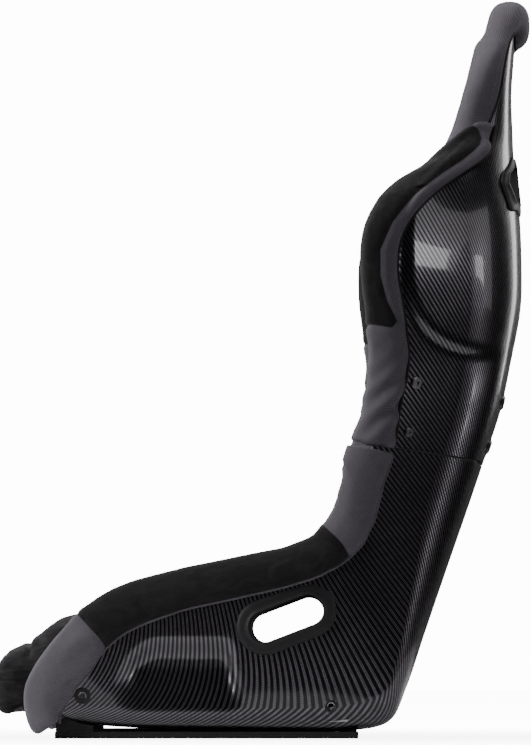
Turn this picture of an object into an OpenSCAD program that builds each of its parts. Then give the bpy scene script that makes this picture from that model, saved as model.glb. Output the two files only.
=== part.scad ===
// Two-piece racing bucket seat: a glass-fibre shell in an upper and a lower moulding,
// bolted together over a tongue, with padded covers on the rim and loose cushions inside.
// The seat faces -X, +Z is up, and Y = 0 is the plane of symmetry.

/* [Overall size] */
// Length from the nose of the seat cushion to the back of the headrest
seat_length = 634; // [615:5:655]
// Height from the base rails to the top of the headrest
seat_height = 880; // [860:2:900]
// Width over the side walls at the hips
hip_width = 410; // [400:2:420]

/* [Shell] */
// Thickness of the laminate
shell_t = 4; // [3:0.5:5]
// Clearance between the tongue and the upper shell
tongue_gap = 0.4; // [0.3:0.1:0.8]
// Thickness of the tongue
tongue_t = 3; // [2.5:0.5:4]

/* [Padding] */
// Thickness of a sewn cover
cover_t = 3; // [2:0.5:4]
// Clearance between padding and shell
pad_gap = 0.5; // [0.4:0.1:1]

/* [Fasteners and mounts] */
// Distance between the front and rear side mounts
mount_spacing = 290; // [285:1:295]
// Height of the front side mounts
front_mount_z = 50; // [46:1:54]
// Height of the rear side mounts
rear_mount_z = 38; // [36:1:44]
// Tapping radius of an M8 thread
m8_minor_r = 3.4; // [3.3:0.05:3.5]
// Thickness of a base rail
rail_t = 8; // [6:1:10]
// Distance between the two base rails
rail_spacing = 350; // [340:5:356]

/* [Hidden] */

kx = seat_length / 634;
kz = seat_height / 880;
ky = hip_width / 410;

// One row per station, from the front foot of the lower shell, under the hips and up the back to
// the head: foot x, z (the outer corner of the section), rim x, z, height of the middle above the
// foot (negative where the back is crowned), half width at the foot, at the rim, corner radius.
STATIONS = [
    [-228,  27, -250,  38,  18, 206, 211,  5],
    [-222,  22, -247,  58,  36, 206, 212, 12],
    [-204,  17, -221, 102,  46, 205, 214, 20],
    [-156,  13, -166, 149,  45, 205, 215, 23],
    [ -92,  11,  -95, 172,  36, 205, 217, 25],
    [ -22,  10,  -22, 187,  24, 205, 219, 26],
    [  45,   9,   44, 202,  11, 205, 221, 27],
    [ 102,   9,   78, 221,   3, 204, 222, 30],
    [ 150,  20,   97, 245,  -2, 203, 223, 34],
    [ 171,  62,  107, 270,  -4, 202, 224, 38],
    [ 193, 130,  113, 293,  -5, 200, 225, 42],
    [ 224, 226,  121, 317,  -6, 197, 225, 44],
    [ 257, 323,  132, 342,  -6, 194, 225, 46],
    [ 278, 388,  146, 388,  -7, 191, 226, 48],
    [ 291, 447,  153, 438,  -7, 192, 231, 52],
    [ 302, 512,  151, 494,  -8, 198, 247, 56],
    [ 303, 572,  147, 547,  -8, 203, 263, 60],
    [ 301, 620,  152, 590,  -8, 196, 266, 62],
    [ 298, 658,  172, 629,  -7, 178, 248, 62],
    [ 295, 693,  198, 663,  -7, 160, 214, 58],
    [ 294, 728,  232, 696,  -7, 146, 178, 46],
    [ 294, 764,  250, 738,  -6, 136, 158, 36],
    [ 296, 798,  264, 781,  -6, 126, 145, 28],
    [ 299, 828,  277, 821,  -5, 103, 119, 20],
    [ 302, 850,  287, 848,  -4,  60,  71, 12]
];
PAD_FRONT = [-220, 30, -240, 14, 16, 206, 211, 5]; // station -1, where only the padding goes
seam = 12;                 // station of the joint between the two mouldings
top = len(STATIONS) - 1;   // station of the top edge

// Numbers of rings and points
shell_step = 1 / 2;
flat_points = 6;
fillet_points = 3;
wall_points = 6;

// ---- the shell's surface ----

function cubic(a, b, c, d, t) =
    0.5 * (2 * b + (c - a) * t + (2 * a - 5 * b + 4 * c - d) * t * t
        + (3 * b - a - 3 * c + d) * t * t * t);

function row(i) = i < 0 ? PAD_FRONT : STATIONS[min(i, top)];
function station(v) =
    let (i = max(-1, min(floor(v), top - 1)),
         s = cubic(row(i - 1), row(i), row(i + 1), row(i + 2), v - i))
    [s[0] * kx, s[1] * kz, s[2] * kx, s[3] * kz, s[4], s[5] * ky, s[6] * ky, s[7]];

function smooth(t) = let (c = max(0, min(1, t))) c * c * (3 - 2 * c);
function wall_height(s) = norm([s[2] - s[0], s[3] - s[1]]);

// Half width of the wall at height w above the foot
function wall_y(s, w) =
    let (r = w / wall_height(s)) s[5] + (s[6] - s[5]) * r * (0.6 + 0.4 * r);

// Height of the floor or back at half width y: a raised pan, or a crowned back
function floor_w(s, y) =
    s[4] > 0
        ? s[4] * (1 - smooth((y / s[5] - 0.56) / 0.26))
        : s[4] * pow(1 - pow(min(1, y / (s[5] - s[7])), 2), 2);

// Half section: q runs from 0 at the middle, over 1 and 2 at the ends of the corner, to 3 at the rim
function section(s, q) =
    q <= 1 ? [(s[5] - s[7]) * q, floor_w(s, (s[5] - s[7]) * q)]
    : q < 2 ? let (t = q - 1, end = wall_y(s, s[7]))
        [(1 - t) * (1 - t) * (s[5] - s[7]) + 2 * t * (1 - t) * (s[5] - 0.5) + t * t * end,
         t * t * s[7]]
    : let (w = s[7] + (wall_height(s) - s[7]) * (q - 2)) [wall_y(s, w), w];

function inward(s, q) =
    let (e = 0.04, d = section(s, min(3, q + e)) - section(s, max(0, q - e)), l = norm(d))
    [-d[1] / l, d[0] / l];

// Pocket pressed into the lower side wall, between the side mounts
pocket_depth = 9;
function pocket(x, z) =
    let (lid = 117 - 42 * pow(max(0, -118 - x) / 50, 2))
    pocket_depth * smooth((x + 168) / 22) * smooth((lid - z) / 24)
        * smooth((-20 - 0.14 * (z - 36) - x) / 18) * smooth((z - 30) / 14);

// Swelling of the upper side wall behind the shoulders
swell_depth = 7;
function swell(x, z) =
    let (r = pow(max(0, 277 - x) / 110, 2.6) + pow(abs(557 - z) / (z < 557 ? 110 : 150), 2.6))
    swell_depth * smooth((1.12 - r) / 0.5) * smooth((300 - x) / 40);

// Point on the shell at station v: side is -1 or 1, off is the depth below the outer surface
function shell_point(v, q, side, off = 0) =
    let (s = station(v), c = section(s, q), n = inward(s, q), h = wall_height(s),
         y = c[0] + off * n[0], w = c[1] + off * n[1],
         x = s[0] + (s[2] - s[0]) / h * w, z = s[1] + (s[3] - s[1]) / h * w,
         form = q > 1 ? swell(x, z) - pocket(x, z) : 0)
    [x, side * (y + form * smooth(q - 1)), z];

// Point on a section: a down from the rim along the surface, b out from the surface
function rim_q(s, a) =
    let (wall = wall_height(s) - s[7])
    a < wall ? 3 - a / wall : 2 - (a - wall) / (1.5 * s[7]);
function rim_point(v, side, a, b) =
    let (s = station(v), h = wall_height(s), q = max(1, min(3, rim_q(s, a))),
         c = section(s, q), n = inward(s, min(q, 2.98)),
         rise = min(a, 0), lean = (s[6] - s[5]) * 1.4 / h,
         y = c[0] - b * n[0] - rise * lean, w = c[1] - b * n[1] - rise,
         x = s[0] + (s[2] - s[0]) / h * w, z = s[1] + (s[3] - s[1]) / h * w)
    [x, side * (y + (a > 0 ? swell(x, z) - pocket(x, z) : 0)), z];

// Point in the plane of a section at half width y and height w
function plane_point(v, y, w) =
    let (s = station(v), h = wall_height(s))
    [s[0] + (s[2] - s[0]) / h * w, y, s[1] + (s[3] - s[1]) / h * w];

// ---- lofts ----

function reversed(list) = [for (i = [len(list) - 1:-1:0]) list[i]];
function steps(a, b, n) = [for (i = [0:n]) a + (b - a) * i / n];

// Rows of a section's q, finer at the corner
qs_half = concat(
    [for (i = [1:flat_points]) i / flat_points],
    [for (i = [1:fillet_points]) 1 + i / fillet_points],
    [for (i = [1:wall_points]) 2 + i / wall_points]);

function chain_across(v, off, qs) =
    concat([for (i = [len(qs) - 1:-1:0]) shell_point(v, qs[i], -1, off)],
           [shell_point(v, 0, 1, off)],
           [for (q = qs) shell_point(v, q, 1, off)]);

// Solid through rings that are each an outer chain followed by an inner chain run backwards
module loft(rings, flip = false) {
    n = len(rings[0]);
    m = len(rings);
    half = n / 2;
    points = [for (ring = rings) for (p = ring) p];
    sides = [for (j = [0:m - 2], i = [0:n - 1], k = [0, 1])
        let (a = j * n + i, b = j * n + (i + 1) % n, c = b + n, d = a + n)
        k == 0 ? [a, b, c] : [a, c, d]];
    caps = [for (end = [0, 1], i = [0:half - 2], k = [0, 1])
        let (o = end * (m - 1) * n, a = o + i, b = o + i + 1, c = o + n - 2 - i, d = o + n - 1 - i,
             f = k == 0 ? [a, c, b] : [a, d, c])
        end == 0 ? f : reversed(f)];
    faces = concat(sides, caps);
    polyhedron(points, flip ? [for (f = faces) reversed(f)] : faces, convexity = 8);
}

function shell_ring(v, from, to, qs = qs_half) =
    concat(chain_across(v, to, qs), reversed(chain_across(v, from, qs)));

// ---- positions of holes and fasteners ----

// [station, q] of the bolts of the joint, on each side wall and on the back
side_bolts = [[12.405, 2.572], [13.528, 2.631]];
back_bolts = [[12.30, 0.55], [13.15, 0.55]];
side_head_r = [5.5, 7];
back_head_r = 9.5;
bolt_r = 3;
nut_depth = shell_t + tongue_gap + tongue_t;

mounts_x = [for (i = [0, 1]) -208 + i * mount_spacing];
mounts_z = [front_mount_z, rear_mount_z];
mount_wall_y = [for (i = [0, 1]) mount_level(mounts_x[i], mounts_z[i])];

// Half width of the wall's outer surface at a side mount, on the straight part of the wall
function mount_level(x, z) =
    let (v = station_at(x)) let (s = station(v)) wall_y(s, z - s[1]);
function station_at(x, lo = 0, hi = 8, n = 24) =
    let (mid = (lo + hi) / 2)
    n == 0 ? mid : station(mid)[0] < x ? station_at(x, mid, hi, n - 1) : station_at(x, lo, mid, n - 1);

// Frame on the surface: [point, outward normal]
function surface_frame(v, q, side) =
    let (e = 0.03, p = shell_point(v, q, side),
         du = shell_point(v, min(3, q + e), side) - shell_point(v, max(0.001, q - e), side),
         dv = shell_point(v + e, q, side) - shell_point(v - e, q, side),
         n = cross(du, dv) * side)
    [p, n / norm(n)];

// Puts +Z of its children along the outward normal at [v, q]
module on_surface(v, q, side) {
    frame = surface_frame(v, q, side);
    n = frame[1];
    translate(frame[0])
        rotate([0, acos(n[2]), atan2(n[1], n[0])])
            children();
}

// ---- belt openings ----

// Lap belt slot, in the side wall: centre x, z, tilt, length between centres, inner radius
slot_x = 30;
slot_z = 140;
slot_tilt = -21;
slot_centres = 55;
slot_r = 17.5;
slot_rim = 15;

module slot_shape(r) {
    hull()
        for (end = [-1, 1])
            translate([end * slot_centres / 2, 0])
                circle(r = r, $fn = 40);
}

// Prism across a side wall: z of its child runs outwards along Y
module across_wall(side, y0, y1) {
    translate([slot_x, side * y0, slot_z])
        rotate([90, 0, 0])
            rotate([0, 0, -slot_tilt])
                mirror([0, 0, side > 0 ? 1 : 0])
                    linear_extrude(y1 - y0)
                        children();
}

// Shoulder belt opening, around the corner of the back: [station, q] of its outline
belt_hole = [[17.26, 0.50], [17.24, 1.22], [17.92, 1.40], [18.22, 1.34], [18.60, 0.96], [18.58, 0.44]];
belt_rim = [[16.94, 0.37], [17.00, 1.39], [17.92, 1.53], [18.25, 1.49], [18.83, 1.08], [18.84, 0.26]];

function along(poly, t) =
    let (n = len(poly), i = floor(t) % n, f = t - floor(t))
    poly[i] + (poly[(i + 1) % n] - poly[i]) * f;
function outline(poly, per_edge) =
    [for (k = [0:len(poly) * per_edge - 1]) along(poly, k / per_edge)];

// Closed band that follows the shell: four rows of points round an opening
module surface_band(inner, outer, low, high, side, per_edge = 4) {
    a = outline(inner, per_edge);
    b = outline(outer, per_edge);
    n = len(a);
    points = [for (k = [0:n - 1]) each [
        shell_point(a[k][0], a[k][1], side, low), shell_point(a[k][0], a[k][1], side, -high),
        shell_point(b[k][0], b[k][1], side, -high), shell_point(b[k][0], b[k][1], side, low)]];
    faces = [for (k = [0:n - 1], i = [0:3], t = [0, 1])
        let (k2 = (k + 1) % n, i2 = (i + 1) % 4,
             p = 4 * k + i, q = 4 * k + i2, r = 4 * k2 + i2, s = 4 * k2 + i,
             f = t == 0 ? [p, q, r] : [p, r, s])
        side < 0 ? f : reversed(f)];
    polyhedron(points, faces, convexity = 6);
}

// Plug through the shell with the outline of an opening
module surface_plug(poly, low, high, side, per_edge = 4) {
    a = outline(poly, per_edge);
    n = len(a);
    middle = [for (i = [0, 1]) [for (p = a) 1] * [for (p = a) p[i]] / n];
    points = concat(
        [for (p = a) shell_point(p[0], p[1], side, low)],
        [for (p = a) shell_point(p[0], p[1], side, -high)],
        [shell_point(middle[0], middle[1], side, low), shell_point(middle[0], middle[1], side, -high)]);
    faces = [for (k = [0:n - 1], t = [0:3])
        let (k2 = (k + 1) % n,
             f = t == 0 ? [k, n + k, n + k2] : t == 1 ? [k, n + k2, k2]
               : t == 2 ? [k, k2, 2 * n] : [n + k, 2 * n + 1, n + k2])
        side > 0 ? f : reversed(f)];
    polyhedron(points, faces, convexity = 6);
}

// ---- shells ----

module bolt_hole(v, q, side, r) {
    on_surface(v, q, side)
        hull() {
            translate([0, 0, 6])
                cylinder(r = r, h = 1, $fn = 14);
            translate([0, 0, -14])
                cylinder(r = r, h = 1, $fn = 14);
        }
}

module joint_holes(r) {
    for (side = [-1, 1]) {
        for (b = side_bolts)
            bolt_hole(b[0], b[1], side, r);
        for (b = back_bolts)
            bolt_hole(b[0], b[1], side, r);
    }
}

module mount_holes(r) {
    for (side = [-1, 1])
        for (i = [0, 1])
            translate([mounts_x[i], side * mount_wall_y[i], mounts_z[i]])
                rotate([90, 0, 0])
                    hull() {
                        translate([0, 0, -14])
                            cylinder(r = r, h = 1, $fn = 16);
                        translate([0, 0, 13])
                            cylinder(r = r, h = 1, $fn = 16);
                    }
}

module lower_shell() {
    color([0.05, 0.05, 0.055])
        difference() {
            loft([for (v = steps(0, seam, seam / shell_step)) shell_ring(v, 0, shell_t)]);
            for (side = [-1, 1])
                across_wall(side, 150, 250)
                    slot_shape(slot_r + 4);
            mount_holes(4.6);
            for (x = rail_screw_x, side = [-1, 1])
                translate([x, side * rail_spacing / 2, 0])
                    hull() {
                        cylinder(r = 3.3, h = 1, $fn = 14);
                        translate([0, 0, 30])
                            cylinder(r = 3.3, h = 1, $fn = 14);
                    }
        }
}

module upper_shell() {
    color([0.05, 0.05, 0.055])
        difference() {
            loft([for (v = steps(seam + 0.03, top, (top - seam) / shell_step)) shell_ring(v, 0, shell_t)]);
            for (side = [-1, 1])
                surface_plug(belt_hole_cut, 14, 10, side);
            joint_holes(bolt_r + 0.4);
        }
}

belt_hole_cut = [for (i = [0:len(belt_hole) - 1]) belt_hole[i] + (belt_rim[i] - belt_hole[i]) * 0.35];

// Tongue of the lower moulding, standing inside the upper shell
module joint_tongue() {
    qs = concat([for (i = [1:6]) i / 6], [1.25, 1.5, 1.75, 2], [for (i = [1:4]) 2 + i * 0.19]);
    color([0.03, 0.03, 0.03])
        difference() {
            loft([for (v = steps(seam - 0.3, seam + 1.75, 8))
                shell_ring(v, shell_t + tongue_gap, shell_t + tongue_gap + tongue_t, qs)]);
            joint_holes(bolt_r + 0.4);
        }
}

// ---- fasteners ----

module button_bolt(head_r, head_h, length) {
    socket_r = head_r * 0.36;
    difference() {
        union() {
            cylinder(r = head_r, h = head_h * 0.5);
            translate([0, 0, head_h * 0.5])
                cylinder(r1 = head_r, r2 = head_r * 0.72, h = head_h * 0.5, $fn = 48);
            translate([0, 0, -length])
                cylinder(r = bolt_r, h = length + 0.1, $fn = 32);
        }
        translate([0, 0, head_h * 0.35])
            cylinder(r = socket_r, h = head_h, $fn = 6);
    }
}

module flange_nut(height) {
    difference() {
        union() {
            cylinder(r = 8, h = 1.5, $fn = 32);
            cylinder(r = 6.4, h = height, $fn = 6);
        }
        translate([0, 0, -1])
            cylinder(r = bolt_r + 0.1, h = height + 2, $fn = 32);
    }
}

module side_joint_bolts() {
    color([0.12, 0.12, 0.12])
        for (side = [-1, 1], i = [0, 1])
            on_surface(side_bolts[i][0], side_bolts[i][1], side)
                translate([0, 0, 0.2])
                    button_bolt(side_head_r[i], 3.4, 18, $fn = 40);
}

module side_joint_nuts() {
    color([0.6, 0.6, 0.62])
        for (side = [-1, 1], i = [0, 1])
            on_surface(side_bolts[i][0], side_bolts[i][1], side)
                rotate([180, 0, 0])
                    translate([0, 0, nut_depth + 0.6])
                        flange_nut(7);
}

module back_joint_bolts() {
    color([0.03, 0.03, 0.03])
        for (side = [-1, 1], b = back_bolts)
            on_surface(b[0], b[1], side)
                translate([0, 0, 0.2])
                    button_bolt(back_head_r, 4, 18, $fn = 48);
}

module back_joint_nuts() {
    color([0.6, 0.6, 0.62])
        for (side = [-1, 1], b = back_bolts)
            on_surface(b[0], b[1], side)
                rotate([180, 0, 0])
                    translate([0, 0, nut_depth + 0.6])
                        flange_nut(7);
}

// Steel plate inside the wall with a welded M8 nut
module side_mount_plates() {
    plate_t = 3;
    nut_l = 12;
    color([0.5, 0.5, 0.52])
        for (side = [-1, 1], i = [0, 1])
            translate([mounts_x[i], side * (mount_wall_y[i] - shell_t - 0.8), mounts_z[i]])
                rotate([90 * side, 0, 0])
                    difference() {
                        union() {
                            translate([0, 5, plate_t / 2])
                                cube([38, 26, plate_t], center = true);
                            cylinder(r = 7.5, h = plate_t + nut_l, $fn = 6);
                        }
                        translate([0, 0, -1])
                            cylinder(r = m8_minor_r, h = plate_t + nut_l + 2, $fn = 40);
                    }
}

// Trim ring round each side mount, on the outside of the wall
module side_mount_rings() {
    color([0.04, 0.04, 0.04])
        for (side = [-1, 1], i = [0, 1])
            translate([mounts_x[i], side * (mount_wall_y[i] + 1), mounts_z[i]])
                rotate([-90 * side, 0, 0])
                    rotate_extrude($fn = 48)
                        polygon([[4.5, 0], [ring_r[i], 0], [ring_r[i], 0.8], [ring_r[i] - 1.2, 2],
                                 [5.6, 2], [4.5, 1]]);
}
ring_r = [9.5, 7.5];

// ---- base ----

rail_x0 = -241;
rail_x1 = 114;
rail_w = 34;
spacer_l = 45;
rail_screw_x = [-219, 88];

function foot_level(x) = station(station_at(x))[1];

module base_rail(side) {
    color([0.02, 0.02, 0.02])
        difference() {
            translate([rail_x0, side * rail_spacing / 2 - rail_w / 2, 0])
                cube([rail_x1 - rail_x0, rail_w, rail_t]);
            for (i = [0, 1])
                translate([mounts_x[i] + 18 - i * 36, side * rail_spacing / 2, -1])
                    cylinder(r = m8_minor_r, h = rail_t + 2, $fn = 40);
            for (x = rail_screw_x)
                translate([x, side * rail_spacing / 2, -1])
                    cylinder(r = 3.2, h = rail_t + 2, $fn = 24);
        }
}

// Wedges that fill the rise of the shell's foot at the front
module rail_spacers() {
    tops = [for (x = steps(rail_x0 + 1, rail_x0 + spacer_l, 4)) [x, foot_level(x) - 0.5]];
    color([0.02, 0.02, 0.02])
        for (side = [-1, 1])
            difference() {
                translate([0, side * rail_spacing / 2 + rail_w / 2, 0])
                    rotate([90, 0, 0])
                        linear_extrude(rail_w)
                            polygon(concat([[rail_x0 + spacer_l, rail_t + 0.1],
                                            [rail_x0 + 1, rail_t + 0.1]], tops));
                translate([rail_screw_x[0], side * rail_spacing / 2, 0])
                    cylinder(r = 3.2, h = 40, $fn = 24);
            }
}

module rail_screws() {
    color([0.4, 0.4, 0.42])
        for (side = [-1, 1], x = rail_screw_x)
            let (head_z = foot_level(x) + shell_t + 1.2)
                translate([x, side * rail_spacing / 2, 0])
                    union() {
                        translate([0, 0, 1])
                            cylinder(r = 3, h = head_z, $fn = 24);
                        translate([0, 0, head_z])
                            cylinder(r = 6, h = 3, $fn = 24);
                    }
}

// ---- bezels ----

module lap_belt_bezel(side) {
    y = wall_y(station(5.7), 128);
    color([0.05, 0.05, 0.055])
        difference() {
            union() {
                across_wall(side, y + 2.4, y + 5)
                    slot_shape(slot_r + slot_rim - 1.5);
                across_wall(side, y + 1.2, y + 2.6)
                    slot_shape(slot_r + slot_rim);
                across_wall(side, y - 11, y + 2)
                    slot_shape(slot_r + 3.2);
            }
            across_wall(side, y - 20, y + 20)
                slot_shape(slot_r);
        }
}

module shoulder_belt_bezel(side) {
    color([0.08, 0.08, 0.085])
        union() {
            surface_band(belt_hole, belt_rim, -0.3, 3, side);
            surface_band(belt_hole, belt_hole_lip, 7, 0.4, side);
        }
}
belt_hole_lip = [for (i = [0:len(belt_hole) - 1]) belt_hole[i] + (belt_rim[i] - belt_hole[i]) * 0.22];

// ---- bolsters ----

// Outline of a bolster over the rim, as pairs of a and b. The first half lies outside the wall.
function bolster_outline(out, in, up, thick) = [
    [out, 2.6], [out - 4, 5.5], [out * 0.4, 9.5], [-0.35 * up, 9], [-up, -2],
    [-0.96 * up, -0.5 * thick], [-0.45 * up, -0.93 * thick], [in * 0.25, -thick],
    [in * 0.8, -0.8 * thick], [in, -shell_t - 3.6]];
function bolster_lining(out, in) = let (o = pad_gap, i = -1.1 * shell_t - pad_gap) [
    [out, o], [out - 4, o], [out * 0.4, o], [1, o], [-pad_gap, o],
    [-pad_gap, -shell_t * 0.5], [-pad_gap, i], [in * 0.25, i], [in * 0.8, i], [in, i]];

function toward(p, q, d) = let (l = norm(q - p)) p + (q - p) * min(0.72, d / l);
function between(a, b, depth) = [for (i = [0:len(a) - 1]) toward(a[i], b[i], depth)];

// Widening of the padding where a section crosses the rim at a slant
function slant(v) =
    let (s = station(v), a = station(v - 0.1), b = station(v + 0.1),
         t = [b[2] - a[2], b[3] - a[3]], d = [s[2] - s[0], s[3] - s[1]] / wall_height(s))
    min(1.55, norm(t) / max(1, abs(t[0] * d[1] - t[1] * d[0])));

// Depth of the outer hem below the rim, along the rim
thigh_hem = [[-1.2, 20], [0, 21], [1, 25], [2, 33], [3, 29], [4, 22.5], [5, 21], [6, 19.5], [7, 24], [8, 33],
    [9, 43], [10, 43], [11, 28], [12, 23]];
torso_hem = [[12, 22], [13, 15.5], [14, 18], [15, 15], [16, 11], [17, 16], [18, 31], [19, 66], [20, 50],
    [21, 46]];
hood_hem = [[20, 48], [21, 44], [22, 33], [23, 27], [24, 28]];

// Depth of the outer and inner hem, padding above the rim and padding inside, along the rim
function thigh_form(v) = let (in = 32 + 48 * smooth((v - 8.6) / 2), h = wall_height(station(v)))
    [min(lookup(v, thigh_hem), h - 3), min(in, h - 6), 21 * slant(v) * (1 - 0.24 * smooth(-v)), 42];
function torso_form(v) = [
    lookup(v, torso_hem),
    70 - 34 * smooth((v - 17.5) / 3),
    21 * slant(v), 42 - 8 * smooth((v - 18) / 2)];

module bolster_skin(vs, form, side) {
    loft([for (v = vs) let (f = form == 0 ? thigh_form(v) : torso_form(v),
        o = bolster_outline(f[0], f[1], f[2], f[3]), l = bolster_lining(f[0], f[1]),
        i = between(o, l, cover_t))
        concat([for (p = o) rim_point(v, side, p[0], p[1])],
               reversed([for (p = i) rim_point(v, side, p[0], p[1])]))], side > 0);
}

module bolster_core(vs, form, side) {
    loft([for (v = vs) let (f = form == 0 ? thigh_form(v) : torso_form(v),
        o = bolster_outline(f[0], f[1], f[2], f[3]), l = bolster_lining(f[0], f[1]),
        i = between(o, l, cover_t + 0.3))
        concat([for (p = i) rim_point(v, side, p[0], p[1])],
               reversed([for (p = l) rim_point(v, side, p[0], p[1])]))], side > 0);
}

thigh_vs = concat([-1, -0.6, -0.2], steps(0.2, seam - 0.06, 17));
torso_vs = steps(seam + 0.09, 20.3, 18);

module thigh_bolster_foam(side) { color([0.7, 0.68, 0.6]) bolster_core(thigh_vs, 0, side); }
module thigh_bolster_cover(side) { color([0.16, 0.16, 0.17]) bolster_skin(thigh_vs, 0, side); }
module torso_bolster_foam(side) { color([0.7, 0.68, 0.6]) bolster_core(torso_vs, 1, side); }
module torso_bolster_cover(side) { color([0.16, 0.16, 0.17]) bolster_skin(torso_vs, 1, side); }

// ---- headrest hood ----

// Frames round the rim of the head: [edge point, direction to the rear, outward direction,
// [reach in front, reach behind, thickness inside, thickness outside]]
function wing_frame(v, side) =
    let (p = shell_point(v, 3, side), a = shell_point(v, 2.6, side) - p, u = a / norm(a),
         y = [0, side, 0], b = y - u * (y * u))
    [p, u, b / norm(b), [20 + 4 * smooth(v - 22.3), lookup(v, hood_hem), 33, 9.5]];
function mix_frame(f, g, t) =
    let (a = f[1] * (1 - t) + g[1] * t, b = f[2] * (1 - t) + g[2] * t)
    [f[0] * (1 - t) + g[0] * t, a / norm(a), b / norm(b), f[3] * (1 - t) + g[3] * t];
function top_frame(q, side) =
    [shell_point(top, q, side), [1, 0, 0], [0, side * 0.3 * q, 1] / norm([0, 0.3 * q, 1]),
     [36, 11, 27, 31 - 3 * q]];

hood_from = 20.36;
hood_vs = steps(hood_from, 23.3, 6);
function hood_half(side) =
    let (w = wing_frame(23.75, side), t = top_frame(1, side), m = mix_frame(w, t, 0.42))
    concat([for (v = hood_vs) wing_frame(v, side)], [[w[0], m[1], m[2], m[3]]], [t]);
hood_frames = concat(hood_half(-1), [top_frame(0, 1)], reversed(hood_half(1)));

function signed_power(x, k) = sign(x) * pow(abs(x), k);
function hood_section(f, inset) =
    let (m = f[3], ca = (m[1] - m[0]) / 2, ha = (m[1] + m[0]) / 2 - inset,
         cb = (m[3] - m[2]) / 2, hb = (m[3] + m[2]) / 2 - inset)
    [for (k = [0:15]) let (t = k * 22.5 + 11.25)
        [ca + ha * signed_power(cos(t), 0.78), cb + hb * signed_power(sin(t), 0.78)]];
function frame_ring(f, chain) = [for (c = chain) f[0] + f[1] * c[0] + f[2] * c[1]];

// Padded tube along the frames; its ends reach past the first and last frames by over
module hood_body(inset, over = 0) {
    n = len(hood_frames) - 1;
    first = (hood_frames[0][0] - hood_frames[1][0]) * over;
    last = (hood_frames[n][0] - hood_frames[n - 1][0]) * over;
    loft([for (i = [0:n]) let (f = hood_frames[i], d = i == 0 ? first : i == n ? last : [0, 0, 0])
        [for (p = frame_ring(f, hood_section(f, inset))) p + d]]);
}

// Room for the shell inside the hood, with a clearance all round
module hood_pocket() {
    translate([-pad_gap, 0, pad_gap])
        loft([for (v = steps(19.5, top, 9))
            shell_ring(v, -2 * pad_gap, shell_t + 2 * pad_gap, [0.33, 0.66, 1, 1.25, 1.5, 1.75, 2, 2.5, 3])]);
}

module headrest_hood_foam() {
    color([0.7, 0.68, 0.6])
        difference() {
            hood_body(cover_t + 0.3);
            hood_pocket();
        }
}

module headrest_hood_cover() {
    color([0.16, 0.16, 0.17])
        difference() {
            hood_body(0);
            hood_body(cover_t, 0.1);
            hood_pocket();
        }
}

// ---- cushions ----

// Side profile of the seat cushion: its nose hangs over the front of the pan
seat_top = [[128, 60], [80, 73], [20, 87], [-60, 106], [-130, 129], [-185, 146], [-218, 150],
    [-246, 140], [-268, 123], [-275, 112], [-288, 106], [-303, 94], [-311, 83], [-316, 66],
    [-316, 49], [-312, 37], [-305, 31], [-294, 28]];
seat_bottom = [[122, 26], [75, 29], [20, 38], [-50, 50], [-110, 60], [-160, 67], [-196, 71],
    [-220, 70], [-236, 67], [-247, 62], [-255, 57], [-259, 53], [-261, 49], [-262, 46],
    [-264, 43], [-267, 39], [-272, 35], [-282, 32]];
seat_half_width = 160;

module seat_loft(from, to, width, sag) {
    n = len(seat_top) - 1;
    loft([for (y = steps(-width, width, 8))
        let (drop = 10 * pow(abs(y) / seat_half_width, 4))
        concat([for (i = [0:n]) side_point(from[i], y, i, drop)],
               reversed([for (i = [0:n]) side_point(to[i], y, i, drop * sag)]))], true);
}
function side_point(p, y, i, drop) =
    [p[0] * kx + (i > 8 ? drop * 0.6 : 0), y, p[1] * kz - (i < 11 ? drop : 0)];
seat_inner = between(seat_top, seat_bottom, cover_t);
seat_core = between(seat_top, seat_bottom, cover_t + 0.4);

module seat_cushion_cover() { color([0.05, 0.05, 0.05]) seat_loft(seat_top, seat_inner, seat_half_width, 1); }
module seat_cushion_foam() {
    color([0.7, 0.68, 0.6]) seat_loft(seat_core, seat_bottom, seat_half_width - cover_t, 0);
}

// Cushion lying on the back between stations v0 and v1, over half width hw, from depth low to high
function back_chain(v, hw, low, high, k) =
    [for (i = [-k:k]) let (r = i / k)
        plane_point(v, hw * r, low + (high - low) * pow(1 - pow(abs(r), 5), 0.5))];
module back_pad(v0, v1, hw, low, high, n, k = 5) {
    loft([for (v = steps(v0, v1, n))
        let (e = smooth(min((v - v0) / 0.7, (v1 - v) / 0.7) + 0.35))
        concat(back_chain(v, hw, low, low + (high - low) * (0.45 + 0.55 * e), k),
               reversed(back_chain(v, hw, low, low, k)))], true);
}
module back_pad_cover(v0, v1, hw, low, high, n, k = 5) {
    loft([for (v = steps(v0, v1, n))
        let (e = smooth(min((v - v0) / 0.7, (v1 - v) / 0.7) + 0.35),
             h = low + (high - low) * (0.45 + 0.55 * e))
        concat(back_chain(v, hw, low, h, k),
               reversed(back_chain(v, hw - cover_t, low, h - cover_t, k)))], true);
}
back_low = nut_depth + 8.6;

module back_cushion_foam() {
    color([0.7, 0.68, 0.6]) back_pad(9.45, 17.05, 136 - cover_t - 0.4, back_low, 52 - cover_t - 0.4, 10);
}
module back_cushion_cover() { color([0.05, 0.05, 0.05]) back_pad_cover(9.45, 17.05, 136, back_low, 52, 10); }
module lumbar_pad() { color([0.05, 0.05, 0.05]) back_pad(10.4, 12.6, 110, 52.6, 68, 6); }
module head_cushion() { color([0.16, 0.16, 0.17]) back_pad(20.6, 22.75, 84, shell_t + 3.6, 34, 8); }

// Hook-and-loop strips between shell and cushions
module back_hook_tapes() {
    color([0.02, 0.02, 0.02])
        for (v = [15.2, 21.4], y = [-45, 45])
            loft([for (w = steps(v, v + 0.9, 3))
                concat([for (k = [-1, 0, 1]) plane_point(w, y + 15 * k, shell_t + 2.4)],
                       reversed([for (k = [-1, 0, 1]) plane_point(w, y + 15 * k, shell_t + 0.3)]))], true);
}

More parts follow.
